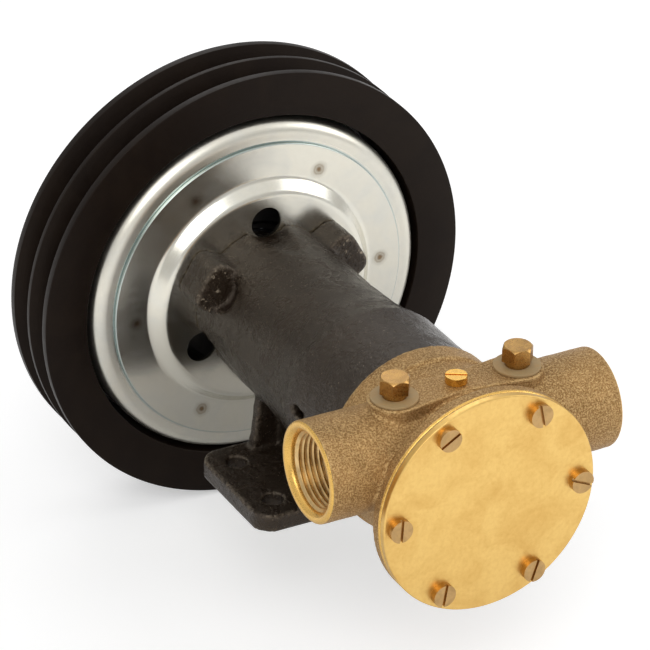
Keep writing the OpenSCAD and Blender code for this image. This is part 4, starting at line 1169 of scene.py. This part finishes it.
class PUMP_OT_stage(bpy.types.Operator):
    """White floor, soft lights and the photograph's camera"""

    bl_idname = "pump.stage"
    bl_label = "Stage"

    def execute(self, context):
        self.floor()
        self.world(context.scene)
        self.lamp("Key light", (-1.2, -1.9, 1.8), size=1.6, watts=26.0)
        self.lamp("Side light", (2.4, -1.0, 1.4), size=1.4, watts=16.0)
        self.lamp("Back light", (0.6, 2.4, 1.8), size=1.6, watts=10.0)
        self.camera(context.scene)
        return {"FINISHED"}

    def floor(self):
        gap = 0.0004
        nothing_selected()
        bpy.ops.mesh.primitive_grid_add(x_subdivisions=8, y_subdivisions=8, size=9,
                                        location=(0, 1.0, CAD_BOX[0][2] - gap))
        floor = settle(named(bpy.context.object, "studio_floor"))
        floor.data.materials.append(self.floor_paint())

    def floor_paint(self):
        made = bpy.data.materials.new("Studio floor")
        made.use_nodes = True
        tree = made.node_tree
        tree.nodes.clear()
        direct, mirrored = ray_kinds(tree)
        away = put(tree, "VectorMath", {0: put(tree, "TexCoord").outputs["Object"]},
                   operation="LENGTH").outputs["Value"]
        # The floor close to the pump doesn't glow in its mirrors
        seen = largest(tree, direct, times(tree, between(tree, away, 0.07, 0.3), mirrored))
        shader = put(tree, "BsdfPrincipled", {
            "Base Color": (0.82, 0.82, 0.82, 1), "Roughness": 0.9, "Specular IOR Level": 0.0,
            "Emission Color": (1, 1, 1, 1)})
        tree.links.new(times(tree, seen, 0.42), shader.inputs["Emission Strength"])
        leave = tree.nodes.new("ShaderNodeOutputMaterial")
        tree.links.new(shader.outputs[0], leave.inputs[0])
        return made

    def world(self, scene):
        world = bpy.data.worlds.new("Studio")
        scene.world = world
        world.use_nodes = True
        tree = world.node_tree
        tree.nodes.clear()
        direct, mirrored = ray_kinds(tree)
        seen = largest(tree, direct, mirrored)
        up = split(tree, put(tree, "TexCoord").outputs["Generated"])[2]
        # Mirrors see a dimmer room under a bright ceiling
        softbox = between(tree, up, 0.45, 0.85, 0.62, 1.0)
        strength = largest(tree, direct, softbox)
        light = put(tree, "Background", {"Color": (1, 1, 1, 1), "Strength": 0.55})
        white = put(tree, "Background", {"Color": (1, 1, 1, 1), "Strength": strength})
        mixed = put(tree, "MixShader", {0: seen, 1: light.outputs[0], 2: white.outputs[0]})
        leave = tree.nodes.new("ShaderNodeOutputWorld")
        tree.links.new(mixed.outputs[0], leave.inputs[0])

    def lamp(self, name, place, size, watts):
        nothing_selected()
        bpy.ops.object.light_add(type="AREA", location=place)
        lamp = named(bpy.context.object, name)
        lamp.data.size = size
        lamp.data.energy = watts
        aim = Vector(PUMP_MIDDLE) - Vector(place)
        lamp.rotation_euler = aim.to_track_quat("-Z", "Y").to_euler()

    def camera(self, scene):
        nothing_selected()
        bpy.ops.object.camera_add()
        camera = named(bpy.context.object, "Photograph camera")
        camera.matrix_world = Matrix.Translation(CAMERA_PLACE) @ Matrix(CAMERA_AXES).to_4x4()
        camera.data.sensor_width = 36
        camera.data.sensor_fit = "HORIZONTAL"
        camera.data.lens = CAMERA_LENS
        camera.data.clip_end = 20
        scene.camera = camera
        scene.view_settings.view_transform = "Standard"


OPERATORS = (
    PUMP_OT_stage, PUMP_OT_finishes, PUMP_OT_cover, PUMP_OT_screws, PUMP_OT_body,
    PUMP_OT_threads, PUMP_OT_plugs, PUMP_OT_housing, PUMP_OT_coil, PUMP_OT_pulley,
    PUMP_OT_drive, PUMP_OT_soft,
)


class PUMP_PT_panel(bpy.types.Panel):
    """Pieces and sizes of the pump"""

    bl_label = "Pump"
    bl_idname = "PUMP_PT_panel"
    bl_space_type = "VIEW_3D"
    bl_region_type = "UI"
    bl_category = "Pump"

    def draw(self, context):
        for operator in OPERATORS:
            self.layout.operator(operator.bl_idname)
        for group in (context.scene.pump_sizes, context.scene.pump_colours):
            for name in group.__annotations__:
                self.layout.prop(group, name)


CLASSES = (PumpSizes, PumpColours) + OPERATORS + (PUMP_PT_panel,)


def register():
    for kind in CLASSES:
        bpy.utils.register_class(kind)
    bpy.types.Scene.pump_sizes = bpy.props.PointerProperty(type=PumpSizes)
    bpy.types.Scene.pump_colours = bpy.props.PointerProperty(type=PumpColours)


def unregister():
    del bpy.types.Scene.pump_colours
    del bpy.types.Scene.pump_sizes
    for kind in reversed(CLASSES):
        bpy.utils.unregister_class(kind)


def main():
    register()
    for operator in OPERATORS:
        group, name = operator.bl_idname.split(".")
        getattr(getattr(bpy.ops, group), name)()
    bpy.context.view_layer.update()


if __name__ == "__main__":
    main()
